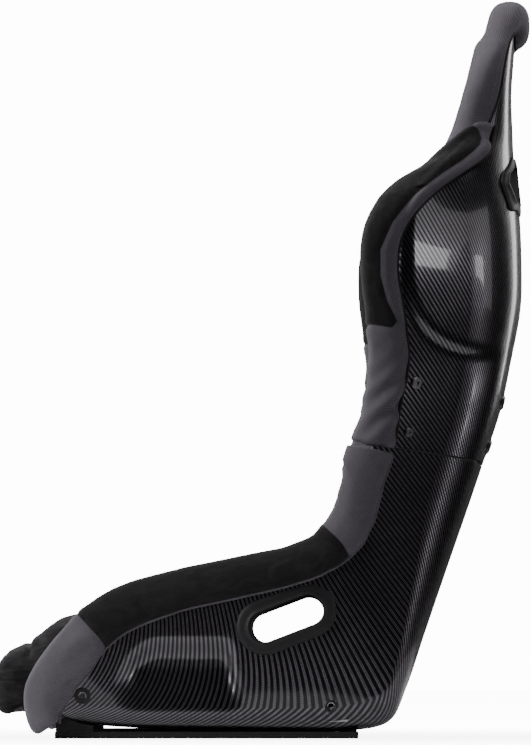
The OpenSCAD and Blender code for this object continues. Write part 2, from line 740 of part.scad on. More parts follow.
module seat_hook_tapes() {
    color([0.02, 0.02, 0.02])
        for (v = [2.4, 4.9], y = [-75, 75])
            loft([for (w = steps(v, v + 0.55, 3))
                let (level = station(w)[4] + shell_t)
                concat([for (k = [-1, 0, 1]) plane_point(w, y + 15 * k, level + 2.6)],
                       reversed([for (k = [-1, 0, 1]) plane_point(w, y + 15 * k, level + 0.4)]))], true);
}

// ---- nodes ----

lower_shell();
upper_shell();
joint_tongue();
side_joint_bolts();
side_joint_nuts();
back_joint_bolts();
back_joint_nuts();
lap_belt_bezel(-1);  // lap_belt_bezel_left
lap_belt_bezel(1);  // lap_belt_bezel_right
shoulder_belt_bezel(-1);  // shoulder_belt_bezel_left
shoulder_belt_bezel(1);  // shoulder_belt_bezel_right
side_mount_plates();
side_mount_rings();
base_rail(-1);  // base_rail_left
base_rail(1);  // base_rail_right
rail_spacers();
rail_screws();
seat_cushion_foam();
seat_cushion_cover();
back_cushion_foam();
back_cushion_cover();
lumbar_pad();
head_cushion();
seat_hook_tapes();
back_hook_tapes();
thigh_bolster_foam(-1);  // thigh_bolster_foam_left
thigh_bolster_foam(1);  // thigh_bolster_foam_right
thigh_bolster_cover(-1);  // thigh_bolster_cover_left
thigh_bolster_cover(1);  // thigh_bolster_cover_right
torso_bolster_foam(-1);  // torso_bolster_foam_left
torso_bolster_foam(1);  // torso_bolster_foam_right
torso_bolster_cover(-1);  // torso_bolster_cover_left
torso_bolster_cover(1);  // torso_bolster_cover_right
headrest_hood_foam();
headrest_hood_cover();
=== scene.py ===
"""Two-piece racing bucket seat: glossy twill shell, padded bolsters, hood and cushions."""

import math

import bmesh
import bpy
import numpy as np
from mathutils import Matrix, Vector, noise
from mathutils.bvhtree import BVHTree


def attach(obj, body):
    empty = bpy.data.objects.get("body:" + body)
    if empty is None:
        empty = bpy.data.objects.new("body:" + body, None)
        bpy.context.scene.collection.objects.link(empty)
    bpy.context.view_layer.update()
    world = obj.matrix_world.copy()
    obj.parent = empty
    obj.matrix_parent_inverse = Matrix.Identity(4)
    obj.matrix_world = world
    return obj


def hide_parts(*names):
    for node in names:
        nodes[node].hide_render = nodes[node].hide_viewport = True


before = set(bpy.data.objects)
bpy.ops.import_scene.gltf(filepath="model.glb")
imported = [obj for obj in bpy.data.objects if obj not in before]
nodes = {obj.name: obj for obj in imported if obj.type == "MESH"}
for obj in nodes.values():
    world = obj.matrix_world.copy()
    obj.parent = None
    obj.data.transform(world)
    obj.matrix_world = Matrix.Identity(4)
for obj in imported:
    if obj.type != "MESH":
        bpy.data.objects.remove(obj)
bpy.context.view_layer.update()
MM = 0.001

# ---------------------------------------------------------------- shell surface (mm)
# foot x, foot z, rim x, rim z, height of the middle, half width at foot, at rim, corner radius
ROWS = np.array([
    [-220, 30, -240, 14, 16, 206, 211, 5],
    [-228, 27, -250, 38, 18, 206, 211, 5],
    [-222, 22, -247, 58, 36, 206, 212, 12],
    [-204, 17, -221, 102, 46, 205, 214, 20],
    [-156, 13, -166, 149, 45, 205, 215, 23],
    [-92, 11, -95, 172, 36, 205, 217, 25],
    [-22, 10, -22, 187, 24, 205, 219, 26],
    [45, 9, 44, 202, 11, 205, 221, 27],
    [102, 9, 78, 221, 3, 204, 222, 30],
    [150, 20, 97, 245, -2, 203, 223, 34],
    [171, 62, 107, 270, -4, 202, 224, 38],
    [193, 130, 113, 293, -5, 200, 225, 42],
    [224, 226, 121, 317, -6, 197, 225, 44],
    [257, 323, 132, 342, -6, 194, 225, 46],
    [278, 388, 146, 388, -7, 191, 226, 48],
    [291, 447, 153, 438, -7, 192, 231, 52],
    [302, 512, 151, 494, -8, 198, 247, 56],
    [303, 572, 147, 547, -8, 203, 263, 60],
    [301, 620, 152, 590, -8, 196, 266, 62],
    [298, 658, 172, 629, -7, 178, 248, 62],
    [295, 693, 198, 663, -7, 160, 214, 58],
    [294, 728, 232, 696, -7, 146, 178, 46],
    [294, 764, 250, 738, -6, 136, 158, 36],
    [296, 798, 264, 781, -6, 126, 145, 28],
    [299, 828, 277, 821, -5, 103, 119, 20],
    [302, 850, 287, 848, -4, 60, 71, 12],
], float)
TOP, SEAM, T = 24, 12, 4.0


def row(i):
    return ROWS[np.clip(i, -1, TOP) + 1]


def cubic(a, b, c, d, t):
    return 0.5 * (2 * b + (c - a) * t + (2 * a - 5 * b + 4 * c - d) * t * t
                  + (3 * b - a - 3 * c + d) * t ** 3)


def station(v):
    v = np.asarray(v, float)
    i = np.clip(np.floor(v), -1, TOP - 1).astype(int)
    return cubic(row(i - 1), row(i), row(i + 1), row(i + 2), (v - i)[..., None])


def smooth(t):
    c = np.clip(t, 0, 1)
    return c * c * (3 - 2 * c)


def wall_h(s):
    return np.hypot(s[..., 2] - s[..., 0], s[..., 3] - s[..., 1])


def wall_y(s, w):
    r = w / wall_h(s)
    return s[..., 5] + (s[..., 6] - s[..., 5]) * r * (0.6 + 0.4 * r)


def floor_w(s, y):
    pan = s[..., 4] * (1 - smooth((y / s[..., 5] - 0.56) / 0.26))
    back = s[..., 4] * (1 - np.minimum(1, y / (s[..., 5] - s[..., 7])) ** 2) ** 2
    return np.where(s[..., 4] > 0, pan, back)


def section(s, q):
    flat = s[..., 5] - s[..., 7]
    y0 = flat * q
    t = np.clip(q - 1, 0, 1)
    end = wall_y(s, s[..., 7])
    y1 = (1 - t) ** 2 * flat + 2 * t * (1 - t) * (s[..., 5] - 0.5) + t * t * end
    w1 = t * t * s[..., 7]
    w2 = s[..., 7] + (wall_h(s) - s[..., 7]) * (q - 2)
    y = np.where(q <= 1, y0, np.where(q < 2, y1, wall_y(s, w2)))
    w = np.where(q <= 1, floor_w(s, y0), np.where(q < 2, w1, w2))
    return y, w


def inward(s, q):
    y1, w1 = section(s, np.minimum(3, q + 0.04))
    y0, w0 = section(s, np.maximum(0, q - 0.04))
    l = np.hypot(y1 - y0, w1 - w0)
    return -(w1 - w0) / l, (y1 - y0) / l


def pocket(x, z):
    lid = 119 - 42 * (np.maximum(0, -118 - x) / 50) ** 2
    return (12 * smooth((x + 172) / 34) * smooth((lid - z) / 25)
            * smooth((-20 - 0.14 * (z - 36) - x) / 15) * smooth((z - 24) / 62))


def swell(x, z):
    r = (np.maximum(0, 277 - x) / 110) ** 2.6 + (np.abs(557 - z) / np.where(z < 557, 110, 150)) ** 2.6
    return 8 * smooth((1.12 - r) / 0.4) * smooth((300 - x) / 40)


def xz(s, w):
    h = wall_h(s)
    return s[..., 0] + (s[..., 2] - s[..., 0]) / h * w, s[..., 1] + (s[..., 3] - s[..., 1]) / h * w


def shell_point(v, q, side, off=0.0):
    v, q = np.broadcast_arrays(np.asarray(v, float), np.asarray(q, float))
    s = station(v)
    y, w = section(s, q)
    ny, nw = inward(s, q)
    y, w = y + off * ny, w + off * nw
    x, z = xz(s, w)
    form = np.where(q > 1, swell(x, z) - pocket(x, z), 0) * smooth(q - 1)
    return np.stack([x, side * (y + form), z], -1)


def rim_point(v, side, a, b):
    """a down from the rim along the surface, b out from it."""
    v, a, b = np.broadcast_arrays(*(np.asarray(k, float) for k in (v, a, b)))
    s = station(v)
    h = wall_h(s)
    wall = h - s[..., 7]
    q = np.where(a < wall, 3 - a / wall, 2 - (a - wall) / (1.5 * s[..., 7]))
    q = np.clip(q, 1, 3)
    y, w = section(s, q)
    ny, nw = inward(s, np.minimum(q, 2.98))
    rise = np.minimum(a, 0)
    lean = (s[..., 6] - s[..., 5]) * 1.4 / h
    y, w = y - b * ny - rise * lean, w - b * nw - rise
    x, z = xz(s, w)
    form = np.where(a > 0, swell(x, z) - pocket(x, z), 0)
    return np.stack([x, side * (y + form), z], -1)


def slant(v):
    s, a, b = station(v), station(v - 0.1), station(v + 0.1)
    t = b[..., 2:4] - a[..., 2:4]
    d = (s[..., 2:4] - s[..., 0:2]) / wall_h(s)[..., None]
    return np.minimum(1.55, np.hypot(t[..., 0], t[..., 1])
                      / np.maximum(1, np.abs(t[..., 0] * d[..., 1] - t[..., 1] * d[..., 0])))


# ---------------------------------------------------------------- mesh helpers

def make(name, verts, faces, mat):
    me = bpy.data.meshes.new(name)
    me.from_pydata([tuple(p) for p in np.asarray(verts) * MM], [],
                   [tuple(int(i) for i in f) for f in faces])
    me.validate()
    me.shade_smooth()
    o = bpy.data.objects.new(name, me)
    bpy.context.scene.collection.objects.link(o)
    me.materials.append(mat)
    return o


def outward(o):
    """Drop points without faces and turn every face outward."""
    bm = bmesh.new()
    bm.from_mesh(o.data)
    bmesh.ops.delete(bm, geom=[v for v in bm.verts if not v.link_faces], context="VERTS")
    bmesh.ops.recalc_face_normals(bm, faces=bm.faces)
    bm.to_mesh(o.data)
    bm.free()
    return o


def crease(o, degrees):
    o.modifiers.new("edges", "EDGE_SPLIT").split_angle = math.radians(degrees)
    return o


def rounded(t):
    """Quarter circle: 0 at t = 0, 1 from t = 1 on."""
    return math.sqrt(max(0.0, 1 - max(0.0, 1 - t) ** 2))


def finish(o, slot_name, *replaced):
    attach(o, "root")
    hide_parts(*replaced)


def finish_soft(o, slot_name, fill, *replaced):
    finish(o, slot_name, *replaced)


def add_uv(o, uv):
    layer = o.data.uv_layers.new(name="cloth")
    idx = np.empty(len(o.data.loops), np.int32)
    o.data.loops.foreach_get("vertex_index", idx)
    layer.data.foreach_set("uv", (np.asarray(uv)[idx] * MM).astype(np.float32).ravel())


def add_value(o, name, values):
    at = o.data.attributes.new(name, "FLOAT", "POINT")
    at.data.foreach_set("value", np.asarray(values, np.float32))


def ring_mesh(name, rings, mat, closed=False):
    """Join (m, n, 3) rings in order; the ends are capped, or joined to each other when closed."""
    rings = np.asarray(rings)
    m, n, _ = rings.shape
    faces = []
    for j in range(m if closed else m - 1):
        a, b = j * n, ((j + 1) % m) * n
        for i in range(n):
            k = (i + 1) % n
            faces.append((a + i, a + k, b + k, b + i))
    if not closed:
        faces.append(tuple(range(n - 1, -1, -1)))
        faces.append(tuple((m - 1) * n + i for i in range(n)))
    return outward(make(name, rings.reshape(-1, 3), faces, mat))


def tube(name, path, r, mat, sides=8):
    path = np.asarray(path, float)
    t = np.gradient(path, axis=0)
    t /= np.linalg.norm(t, axis=1)[:, None] + 1e-9
    ups = np.zeros_like(path)
    up = np.array([0.0, 1.0, 0.0]) if abs(t[0][1]) < 0.9 else np.array([1.0, 0, 0])
    for i in range(len(path)):
        up = up - t[i] * (up @ t[i])
        up /= np.linalg.norm(up)
        ups[i] = up
    w = np.cross(t, ups)
    ang = np.arange(sides) / sides * 2 * math.pi
    rings = path[:, None, :] + r * (np.cos(ang)[None, :, None] * w[:, None, :]
                                    + np.sin(ang)[None, :, None] * ups[:, None, :])
    return ring_mesh(name, rings, mat)


def spline(points, per):
    p = np.asarray(points, float)
    ext = np.vstack([2 * p[0] - p[1], p, 2 * p[-1] - p[-2]])
    out = []
    for i in range(len(p) - 1):
        for k in range(per):
            out.append(cubic(ext[i], ext[i + 1], ext[i + 2], ext[i + 3], k / per))
    out.append(p[-1])
    return np.array(out)


def polygon_distance(x, z, poly):
    """Signed distance to a polygon in the XZ plane, positive inside (mm)."""
    p = np.asarray(poly, float)
    d = np.full(x.shape, 1e9)
    inside = np.zeros(x.shape, bool)
    for (x0, z0), (x1, z1) in zip(p, np.roll(p, -1, 0)):
        ex, ez = x1 - x0, z1 - z0
        t = np.clip(((x - x0) * ex + (z - z0) * ez) / (ex * ex + ez * ez + 1e-9), 0, 1)
        d = np.minimum(d, np.hypot(x - x0 - t * ex, z - z0 - t * ez))
        cross = (z0 > z) != (z1 > z)
        with np.errstate(divide="ignore", invalid="ignore"):
            xi = ex * (z - z0) / (ez if ez else 1e-9) + x0
        inside ^= cross & (x < xi)
    return np.where(inside, d, -d)


def wobble(p, scale, seed=0.0):
    return np.array([noise.noise(Vector((float(x) / scale + seed, float(y) / scale, float(z) / scale)))
                     for x, y, z in p])


def vertex_array(o):
    co = np.empty(len(o.data.vertices) * 3)
    o.data.vertices.foreach_get("co", co)
    return co.reshape(-1, 3) / MM


def normal_array(o):
    co = np.empty(len(o.data.vertices) * 3)
    o.data.vertex_normals.foreach_get("vector", co)
    return co.reshape(-1, 3)


def set_vertices(o, p):
    o.data.vertices.foreach_set("co", (np.asarray(p) * MM).ravel())
    o.data.update()


def join(name, objs):
    bpy.ops.object.select_all(action="DESELECT")
    for o in objs:
        o.select_set(True)
    bpy.context.view_layer.objects.active = objs[0]
    bpy.ops.object.join()
    objs[0].name = name
    objs[0].data.name = name
    return objs[0]


# ---------------------------------------------------------------- materials

def material(name, color, rough, spec=0.5, metal=0.0, coat=0.0, coat_rough=0.05, sheen=0.0, sheen_rough=0.5,
             sheen_tint=(1, 1, 1, 1)):
    m = bpy.data.materials.new(name)
    m.use_nodes = True
    b = m.node_tree.nodes["Principled BSDF"]
    b.inputs["Base Color"].default_value = (*color, 1)
    b.inputs["Roughness"].default_value = rough
    b.inputs["Specular IOR Level"].default_value = spec
    b.inputs["Metallic"].default_value = metal
    b.inputs["Coat Weight"].default_value = coat
    b.inputs["Coat Roughness"].default_value = coat_rough
    b.inputs["Sheen Weight"].default_value = sheen
    b.inputs["Sheen Roughness"].default_value = sheen_rough
    b.inputs["Sheen Tint"].default_value = sheen_tint
    m.diffuse_color = (*color, 1)
    return m, m.node_tree, b


def N(tree, kind, **inputs):
    n = tree.nodes.new(kind)
    for k, v in inputs.items():
        if hasattr(n, k) and k not in n.inputs:
            setattr(n, k, v)
        else:
            n.inputs[k.replace("_", " ")].default_value = v
    return n


def L(tree, a, b):
    tree.links.new(a, b)


def math_node(tree, op, a, b=None, clamp=False):
    n = tree.nodes.new("ShaderNodeMath")
    n.operation = op
    n.use_clamp = clamp
    for i, x in enumerate((a, b)):
        if x is None:
            continue
        if isinstance(x, (int, float)):
            n.inputs[i].default_value = x
        else:
            L(tree, x, n.inputs[i])
    return n.outputs[0]


def mul(tree, a, b, clamp=False):
    return math_node(tree, "MULTIPLY", a, b, clamp)


def add(tree, a, b, clamp=False):
    return math_node(tree, "ADD", a, b, clamp)


def ramp(tree, fac, stops):
    n = tree.nodes.new("ShaderNodeValToRGB")
    while len(n.color_ramp.elements) < len(stops):
        n.color_ramp.elements.new(0.5)
    for e, (p, c) in zip(n.color_ramp.elements, stops):
        e.position = p
        e.color = (*c, 1)
    L(tree, fac, n.inputs[0])
    return n.outputs[0]


def mix_color(tree, fac, a, b):
    n = tree.nodes.new("ShaderNodeMix")
    n.data_type = "RGBA"
    for x, i in ((fac, 0), (a, 6), (b, 7)):
        if isinstance(x, (int, float)):
            n.inputs[i].default_value = x
        elif isinstance(x, tuple):
            n.inputs[i].default_value = (*x, 1)
        else:
            L(tree, x, n.inputs[i])
    return n.outputs[2]


def bump(tree, bsdf, height, dist, strength):
    n = tree.nodes.new("ShaderNodeBump")
    n.inputs["Distance"].default_value = dist
    n.inputs["Strength"].default_value = strength
    L(tree, height, n.inputs["Height"])
    L(tree, n.outputs[0], bsdf.inputs["Normal"])


PITCH, TOW = 4.5 * MM, 2.1 * MM   # spacing of the ribs, and of the tows along a rib


def twill():
    """Two-by-two twill laminate under clear gloss; the UV map runs across and along the ribs."""
    m, t, b = material("twill_laminate", (0.02, 0.02, 0.022), 0.3, spec=0.3, metal=0.9, coat=0.4)
    uv = N(t, "ShaderNodeUVMap", uv_map="cloth")
    sep = N(t, "ShaderNodeSeparateXYZ")
    L(t, uv.outputs[0], sep.inputs[0])
    u, w = sep.outputs[0], sep.outputs[1]
    rib = math_node(t, "SINE", mul(t, u, 2 * math.pi / PITCH))
    # tows cross the ribs: one step along per rib
    tow = math_node(t, "SINE", add(t, mul(t, w, 2 * math.pi / TOW), mul(t, u, math.pi / PITCH)))
    fine = N(t, "ShaderNodeTexNoise", Scale=900.0, Detail=2.0)
    big = N(t, "ShaderNodeTexNoise", Scale=14.0, Detail=2.0)
    band = add(t, mul(t, rib, 0.5), 0.5)
    light = ramp(t, band, [(0.36, (0, 0, 0)), (0.84, (1, 1, 1))])
    strand = add(t, mul(t, tow, 0.14), 0.86)
    var = add(t, mul(t, big.outputs[0], 0.5), 0.75)
    fac = mul(t, mul(t, light, strand), var, clamp=True)
    col = mix_color(t, fac, (0.0045, 0.0042, 0.005), (0.095, 0.089, 0.100))
    L(t, col, b.inputs["Base Color"])
    rough = add(t, mul(t, band, -0.06), 0.33)
    L(t, rough, b.inputs["Roughness"])
    h = add(t, add(t, band, mul(t, tow, 0.22)), mul(t, fine.outputs[0], 0.25))
    bump(t, b, h, 0.0002, 0.4)
    return m


def inner_laminate():
    m, t, b = material("rough_inner_laminate", (0.012, 0.012, 0.013), 0.62)
    n = N(t, "ShaderNodeTexNoise", Scale=160.0, Detail=5.0)
    col = ramp(t, n.outputs[0], [(0.35, (0.008, 0.008, 0.009)), (0.7, (0.022, 0.022, 0.024))])
    L(t, col, b.inputs["Base Color"])
    bump(t, b, n.outputs[0], 0.0006, 0.6)
    return m


def weave_layers(t, scale):
    """Plain weave height from object coordinates, turned so it doesn't follow an axis."""
    co = N(t, "ShaderNodeTexCoord")
    mp = N(t, "ShaderNodeMapping", Rotation=(0.5, 0.35, 0.6))
    L(t, co.outputs["Object"], mp.inputs[0])
    wa = N(t, "ShaderNodeTexWave", Scale=scale, Distortion=0.6, Detail=1.0, bands_direction="X")
    wb = N(t, "ShaderNodeTexWave", Scale=scale, Distortion=0.6, Detail=1.0, bands_direction="Z")
    L(t, mp.outputs[0], wa.inputs[0])
    L(t, mp.outputs[0], wb.inputs[0])
    return mul(t, wa.outputs["Fac"], wb.outputs["Fac"]), co


def bolster_cloth(patch=True):
    """Charcoal weave with a black suede patch where the patch value is positive."""
    m, t, b = material("bolster_cloth" if patch else "grey_weave", (0.05, 0.046, 0.052), 0.82, spec=0.12,
                       sheen=0.12, sheen_rough=0.4, sheen_tint=(0.8, 0.78, 0.85, 1))
    weave, co = weave_layers(t, 190.0)
    spots = N(t, "ShaderNodeTexNoise", Scale=1500.0, Detail=2.0)
    broad = N(t, "ShaderNodeTexNoise", Scale=9.0, Detail=3.0)
    grey = mix_color(t, add(t, mul(t, weave, 0.55), mul(t, spots.outputs[0], 0.5), clamp=True),
                     (0.028, 0.0255, 0.030), (0.105, 0.094, 0.111))
    grey = mix_color(t, ramp(t, broad.outputs[0], [(0.35, (0, 0, 0)), (0.7, (0.35, 0.35, 0.35))]),
                     grey, (0.038, 0.0345, 0.041))
    h = weave
    if patch:
        at = N(t, "ShaderNodeAttribute", attribute_name="patch")
        sd = at.outputs["Fac"]
        fac = add(t, mul(t, sd, 900.0), 0.5, clamp=True)
        nap = N(t, "ShaderNodeTexNoise", Scale=1100.0, Detail=4.0, Roughness=0.7)
        brush = N(t, "ShaderNodeTexNoise", Scale=16.0, Detail=4.0, Distortion=1.2)
        suede = mix_color(t, nap.outputs[0], (0.002, 0.0019, 0.002), (0.010, 0.0094, 0.0097))
        suede = mix_color(t, ramp(t, brush.outputs[0], [(0.42, (0, 0, 0)), (0.66, (0.5, 0.5, 0.5))]),
                          suede, (0.014, 0.013, 0.0137))
        col = mix_color(t, fac, grey, suede)
        # a thin near-black line along the patch's seam: painted shade in the seam's groove, which the bump
        # below also sinks
        away = mul(t, math_node(t, "ABSOLUTE", sd), 800.0)
        seam = math_node(t, "SUBTRACT", 1.0, away, clamp=True)
        col = mix_color(t, mul(t, seam, 0.75), col, (0.003, 0.003, 0.003))
        L(t, add(t, mul(t, fac, 0.14), 0.8), b.inputs["Roughness"])
        h = add(t, mul(t, weave, math_node(t, "SUBTRACT", 1.0, fac)),
                mul(t, nap.outputs[0], mul(t, fac, 0.8)))
        h = math_node(t, "SUBTRACT", h, mul(t, seam, 1.6))
    else:
        col = grey
    L(t, col, b.inputs["Base Color"])
    bump(t, b, h, 0.0004, 0.5)
    return m


def suede_cloth():
    m, t, b = material("black_suede_cloth", (0.01, 0.01, 0.01), 0.94, spec=0.08, sheen=0.18, sheen_rough=0.35,
                       sheen_tint=(0.55, 0.53, 0.57, 1))
    nap = N(t, "ShaderNodeTexNoise", Scale=1100.0, Detail=4.0, Roughness=0.7)
    brush = N(t, "ShaderNodeTexNoise", Scale=12.0, Detail=4.0, Distortion=1.5)
    c = mix_color(t, nap.outputs[0], (0.003, 0.0028, 0.003), (0.013, 0.0122, 0.013))
    c = mix_color(t, ramp(t, brush.outputs[0], [(0.40, (0, 0, 0)), (0.68, (0.55, 0.55, 0.55))]), c,
                  (0.028, 0.026, 0.028))
    L(t, c, b.inputs["Base Color"])
    bump(t, b, nap.outputs[0], 0.0005, 0.5)
    return m


def moulded(name, dark, light, rough, scale=700.0, depth=0.00025):
    m, t, b = material(name, light, rough, spec=0.18)
    n = N(t, "ShaderNodeTexNoise", Scale=scale, Detail=3.0)
    w = N(t, "ShaderNodeTexNoise", Scale=22.0, Detail=4.0)
    c = mix_color(t, n.outputs[0], dark, light)
    L(t, c, b.inputs["Base Color"])
    L(t, add(t, mul(t, w.outputs[0], 0.16), rough - 0.08), b.inputs["Roughness"])
    bump(t, b, n.outputs[0], depth, 0.4)
    return m


def steel(name, color, rough, metal=1.0):
    m, t, b = material(name, color, rough, metal=metal)
    n = N(t, "ShaderNodeTexNoise", Scale=260.0, Detail=5.0)
    w = N(t, "ShaderNodeTexNoise", Scale=40.0, Detail=3.0)
    dark = tuple(c * 0.7 for c in color)
    L(t, mix_color(t, w.outputs[0], dark, color), b.inputs["Base Color"])
    L(t, add(t, mul(t, n.outputs[0], 0.2), rough - 0.1), b.inputs["Roughness"])
    bump(t, b, n.outputs[0], 0.00008, 0.3)
    return m


def hook_loop():
    m, t, b = material("hook_and_loop", (0.012, 0.012, 0.012), 0.95)
    v = N(t, "ShaderNodeTexVoronoi", Scale=900.0)
    L(t, mix_color(t, v.outputs[0], (0.02, 0.02, 0.02), (0.005, 0.005, 0.005)), b.inputs["Base Color"])
    bump(t, b, v.outputs[0], 0.0008, 0.8)
    return m


TWILL, INNER = twill(), inner_laminate()
CLOTH, WEAVE, SUEDE = bolster_cloth(), bolster_cloth(False), suede_cloth()
BEZEL = moulded("bezel_moulding", (0.0035, 0.0033, 0.0038), (0.009, 0.0085, 0.0098), 0.5)
RAIL = moulded("rail_powder_coat", (0.004, 0.004, 0.0042), (0.009, 0.009, 0.0095), 0.5, 900.0)
BLACK = steel("black_oxide_steel", (0.10, 0.098, 0.105), 0.32, 0.9)
ZINC = steel("zinc_plated_steel", (0.55, 0.55, 0.57), 0.34)
TAPE = hook_loop()
BINDING = moulded("binding_tape", (0.0015, 0.0014, 0.0016), (0.012, 0.011, 0.0125), 0.75, 1300.0, 0.0006)
THREAD = moulded("sewing_thread", (0.02, 0.02, 0.021), (0.06, 0.058, 0.062), 0.7, 2500.0)

# ---------------------------------------------------------------- twill direction on the side walls
# x, z, angle of the ribs from +X in degrees
RIBS = np.array([
    [-230, 50, 45], [-190, 60, 50], [-150, 90, 58], [-110, 60, 62], [-110, 105, 66], [-60, 60, 74],
    [-50, 150, 85], [-20, 110, 90], [0, 60, 100], [60, 90, 120], [120, 60, 128], [110, 130, 130],
    [40, 180, 105], [-100, 20, 50], [0, 20, 68], [100, 20, 97], [100, 200, 142], [150, 260, 150],
    [190, 260, 137], [225, 280, 114], [170, 180, 128], [150, 100, 120], [160, 330, 150],
    [190, 400, 136], [250, 420, 118], [160, 480, 135], [230, 500, 118],
    [230, 560, 113], [170, 600, 120], [280, 560, 107], [290, 480, 108], [240, 640, 115], [270, 700, 117],
    [280, 760, 117], [290, 830, 117], [262, 800, 117]], float)
RIB_X, RIB_Z0, RIB_Z = 300.0, 420, 450.0  # the fit works on x / RIB_X and (z - RIB_Z0) / RIB_Z
ACROSS_WEIGHT, DAMPING = 0.6, 0.002
POWERS = [(i, j) for i in range(6) for j in range(6 - i)][1:]


def basis(x, z, dx=0, dz=0):
    a, b = x / RIB_X, (z - RIB_Z0) / RIB_Z
    cols = []
    for i, j in POWERS:
        if dx:
            cols.append(i * a ** max(i - 1, 0) * b ** j / RIB_X if i else 0 * a)
        elif dz:
            cols.append(j * a ** i * b ** max(j - 1, 0) / RIB_Z if j else 0 * a)
        else:
            cols.append(a ** i * b ** j)
    return np.stack(cols, -1)


def fit(turn):
    """Weights of a field that is level along the ribs and rises across them, denser up the back."""
    th = np.radians(RIBS[:, 2] + turn)
    gx, gz = basis(RIBS[:, 0], RIBS[:, 1], dx=1), basis(RIBS[:, 0], RIBS[:, 1], dz=1)
    along = np.cos(th)[:, None] * gx + np.sin(th)[:, None] * gz
    across = np.sin(th)[:, None] * gx - np.cos(th)[:, None] * gz
    dense = 1 + 0.25 * smooth((RIBS[:, 1] - 260) / 120)
    A = np.vstack([along, across * ACROSS_WEIGHT, DAMPING * np.eye(len(POWERS))])
    r = np.concatenate([np.zeros(len(th)), ACROSS_WEIGHT * dense, np.zeros(len(POWERS))])
    return np.linalg.lstsq(A, r, rcond=None)[0]


PHI, PSI = fit(0), fit(90)
SIDEWAYS = 0.7    # how much the rib coordinates grow per mm inward from the wall
ARC = 1.45        # length of the corner over its radius


def twill_uv(x, z, lateral):
    """Rib and tow coordinates in mm; lateral is the distance inward from the wall's corner."""
    return np.stack([basis(x, z) @ PHI + SIDEWAYS * lateral, basis(x, z) @ PSI + SIDEWAYS * lateral], -1)


# ---------------------------------------------------------------- shells

SLOT = dict(x=30.0, z=140.0, tilt=math.radians(21), half=27.5, r=17.5)


def slot_distance(x, z):
    c, s = math.cos(SLOT["tilt"]), math.sin(SLOT["tilt"])
    u = (x - SLOT["x"]) * c + (z - SLOT["z"]) * s
    w = -(x - SLOT["x"]) * s + (z - SLOT["z"]) * c
    return np.hypot(np.maximum(np.abs(u) - SLOT["half"], 0), w)


# shoulder belt opening and the edge of its moulding: station, q
BELT_HOLE = np.array([[17.26, 0.50], [17.24, 1.22], [17.92, 1.40],
                      [18.22, 1.34], [18.60, 0.96], [18.58, 0.44]])
BELT_RIM = np.array([[16.94, 0.37], [17.00, 1.39], [17.92, 1.53],
                     [18.25, 1.49], [18.83, 1.08], [18.84, 0.26]])


def shell(name, v0, v1, per, cut):
    vs = np.linspace(v0, v1, int((v1 - v0) * per) + 1)
    qh = np.concatenate([np.linspace(0, 1, 13), np.linspace(1, 2, 13)[1:], np.linspace(2, 3, 47)[1:]])
    qs = np.concatenate([-qh[::-1], qh[1:]])
    V, Q = np.meshgrid(vs, qs, indexing="ij")
    side = np.where(Q < 0, -1.0, 1.0)
    outer = shell_point(V, np.abs(Q), side, 0)
    inner = shell_point(V, np.abs(Q), side, T)
    m, n = V.shape
    keep = ~cut(V, Q, outer)
    cell = keep[:-1, :-1] & keep[1:, :-1] & keep[:-1, 1:] & keep[1:, 1:]
    base = m * n
    faces, mats = [], []

    def quad(a, b, c, d, k):
        faces.append((a, b, c, d))
        mats.append(k)

    for j in range(m - 1):
        for i in range(n - 1):
            if not cell[j, i]:
                continue
            a, b, c, d = j * n + i, j * n + i + 1, (j + 1) * n + i + 1, (j + 1) * n + i
            quad(a, b, c, d, 0)
            quad(base + d, base + c, base + b, base + a, 1)
            for (p, q, nj, ni) in ((a, b, j - 1, i), (b, c, j, i + 1), (c, d, j + 1, i), (d, a, j, i - 1)):
                if not (0 <= nj < m - 1 and 0 <= ni < n - 1) or not cell[nj, ni]:
                    quad(q, p, base + p, base + q, 0)
    o = make(name, np.concatenate([outer.reshape(-1, 3), inner.reshape(-1, 3)]), faces, TWILL)
    o.data.materials.append(INNER)
    o.data.polygons.foreach_set("material_index", np.array(mats, np.int32)[:len(o.data.polygons)])
    # rib coordinates: on the walls from x and z, round the corner and over the back also sideways
    s = station(V)
    flat = s[..., 5] - s[..., 7]
    aq = np.abs(Q)
    lateral = np.where(aq >= 2, 0, np.where(aq >= 1, (2 - aq) * ARC * s[..., 7],
                                            ARC * s[..., 7] + (1 - aq) * flat))
    uv = twill_uv(outer[..., 0], outer[..., 2], lateral).reshape(-1, 2)
    add_uv(o, np.concatenate([uv, uv]))
    outward(o)
    return crease(o, 50)


MOUNTS = [(-208.0, 50.0), (82.0, 38.0)]   # x, z of the side mount holes
MOUNT_CUT, SLOT_CUT = 4.6, 4.0            # hole radius, and how far the slot cut passes the slot


def cut_lower(V, Q, p):
    wall = np.abs(Q) > 2
    c = wall & (slot_distance(p[..., 0], p[..., 2]) < SLOT["r"] + SLOT_CUT)
    for x, z in MOUNTS:
        c |= wall & (np.hypot(p[..., 0] - x, p[..., 2] - z) < MOUNT_CUT)
    return c


def cut_upper(V, Q, p):
    mid = BELT_HOLE + (BELT_RIM - BELT_HOLE) * 0.3
    return polygon_distance(V * 40, np.abs(Q) * 100, mid * [40, 100]) > 0


lower = shell("lower_shell_moulding", 0, SEAM, 15, cut_lower)
upper = shell("upper_shell_moulding", SEAM + 0.035, TOP, 13, cut_upper)
finish(lower, "shell_laminate", "lower_shell")
finish(upper, "shell_laminate", "upper_shell")

# ---------------------------------------------------------------- bolsters

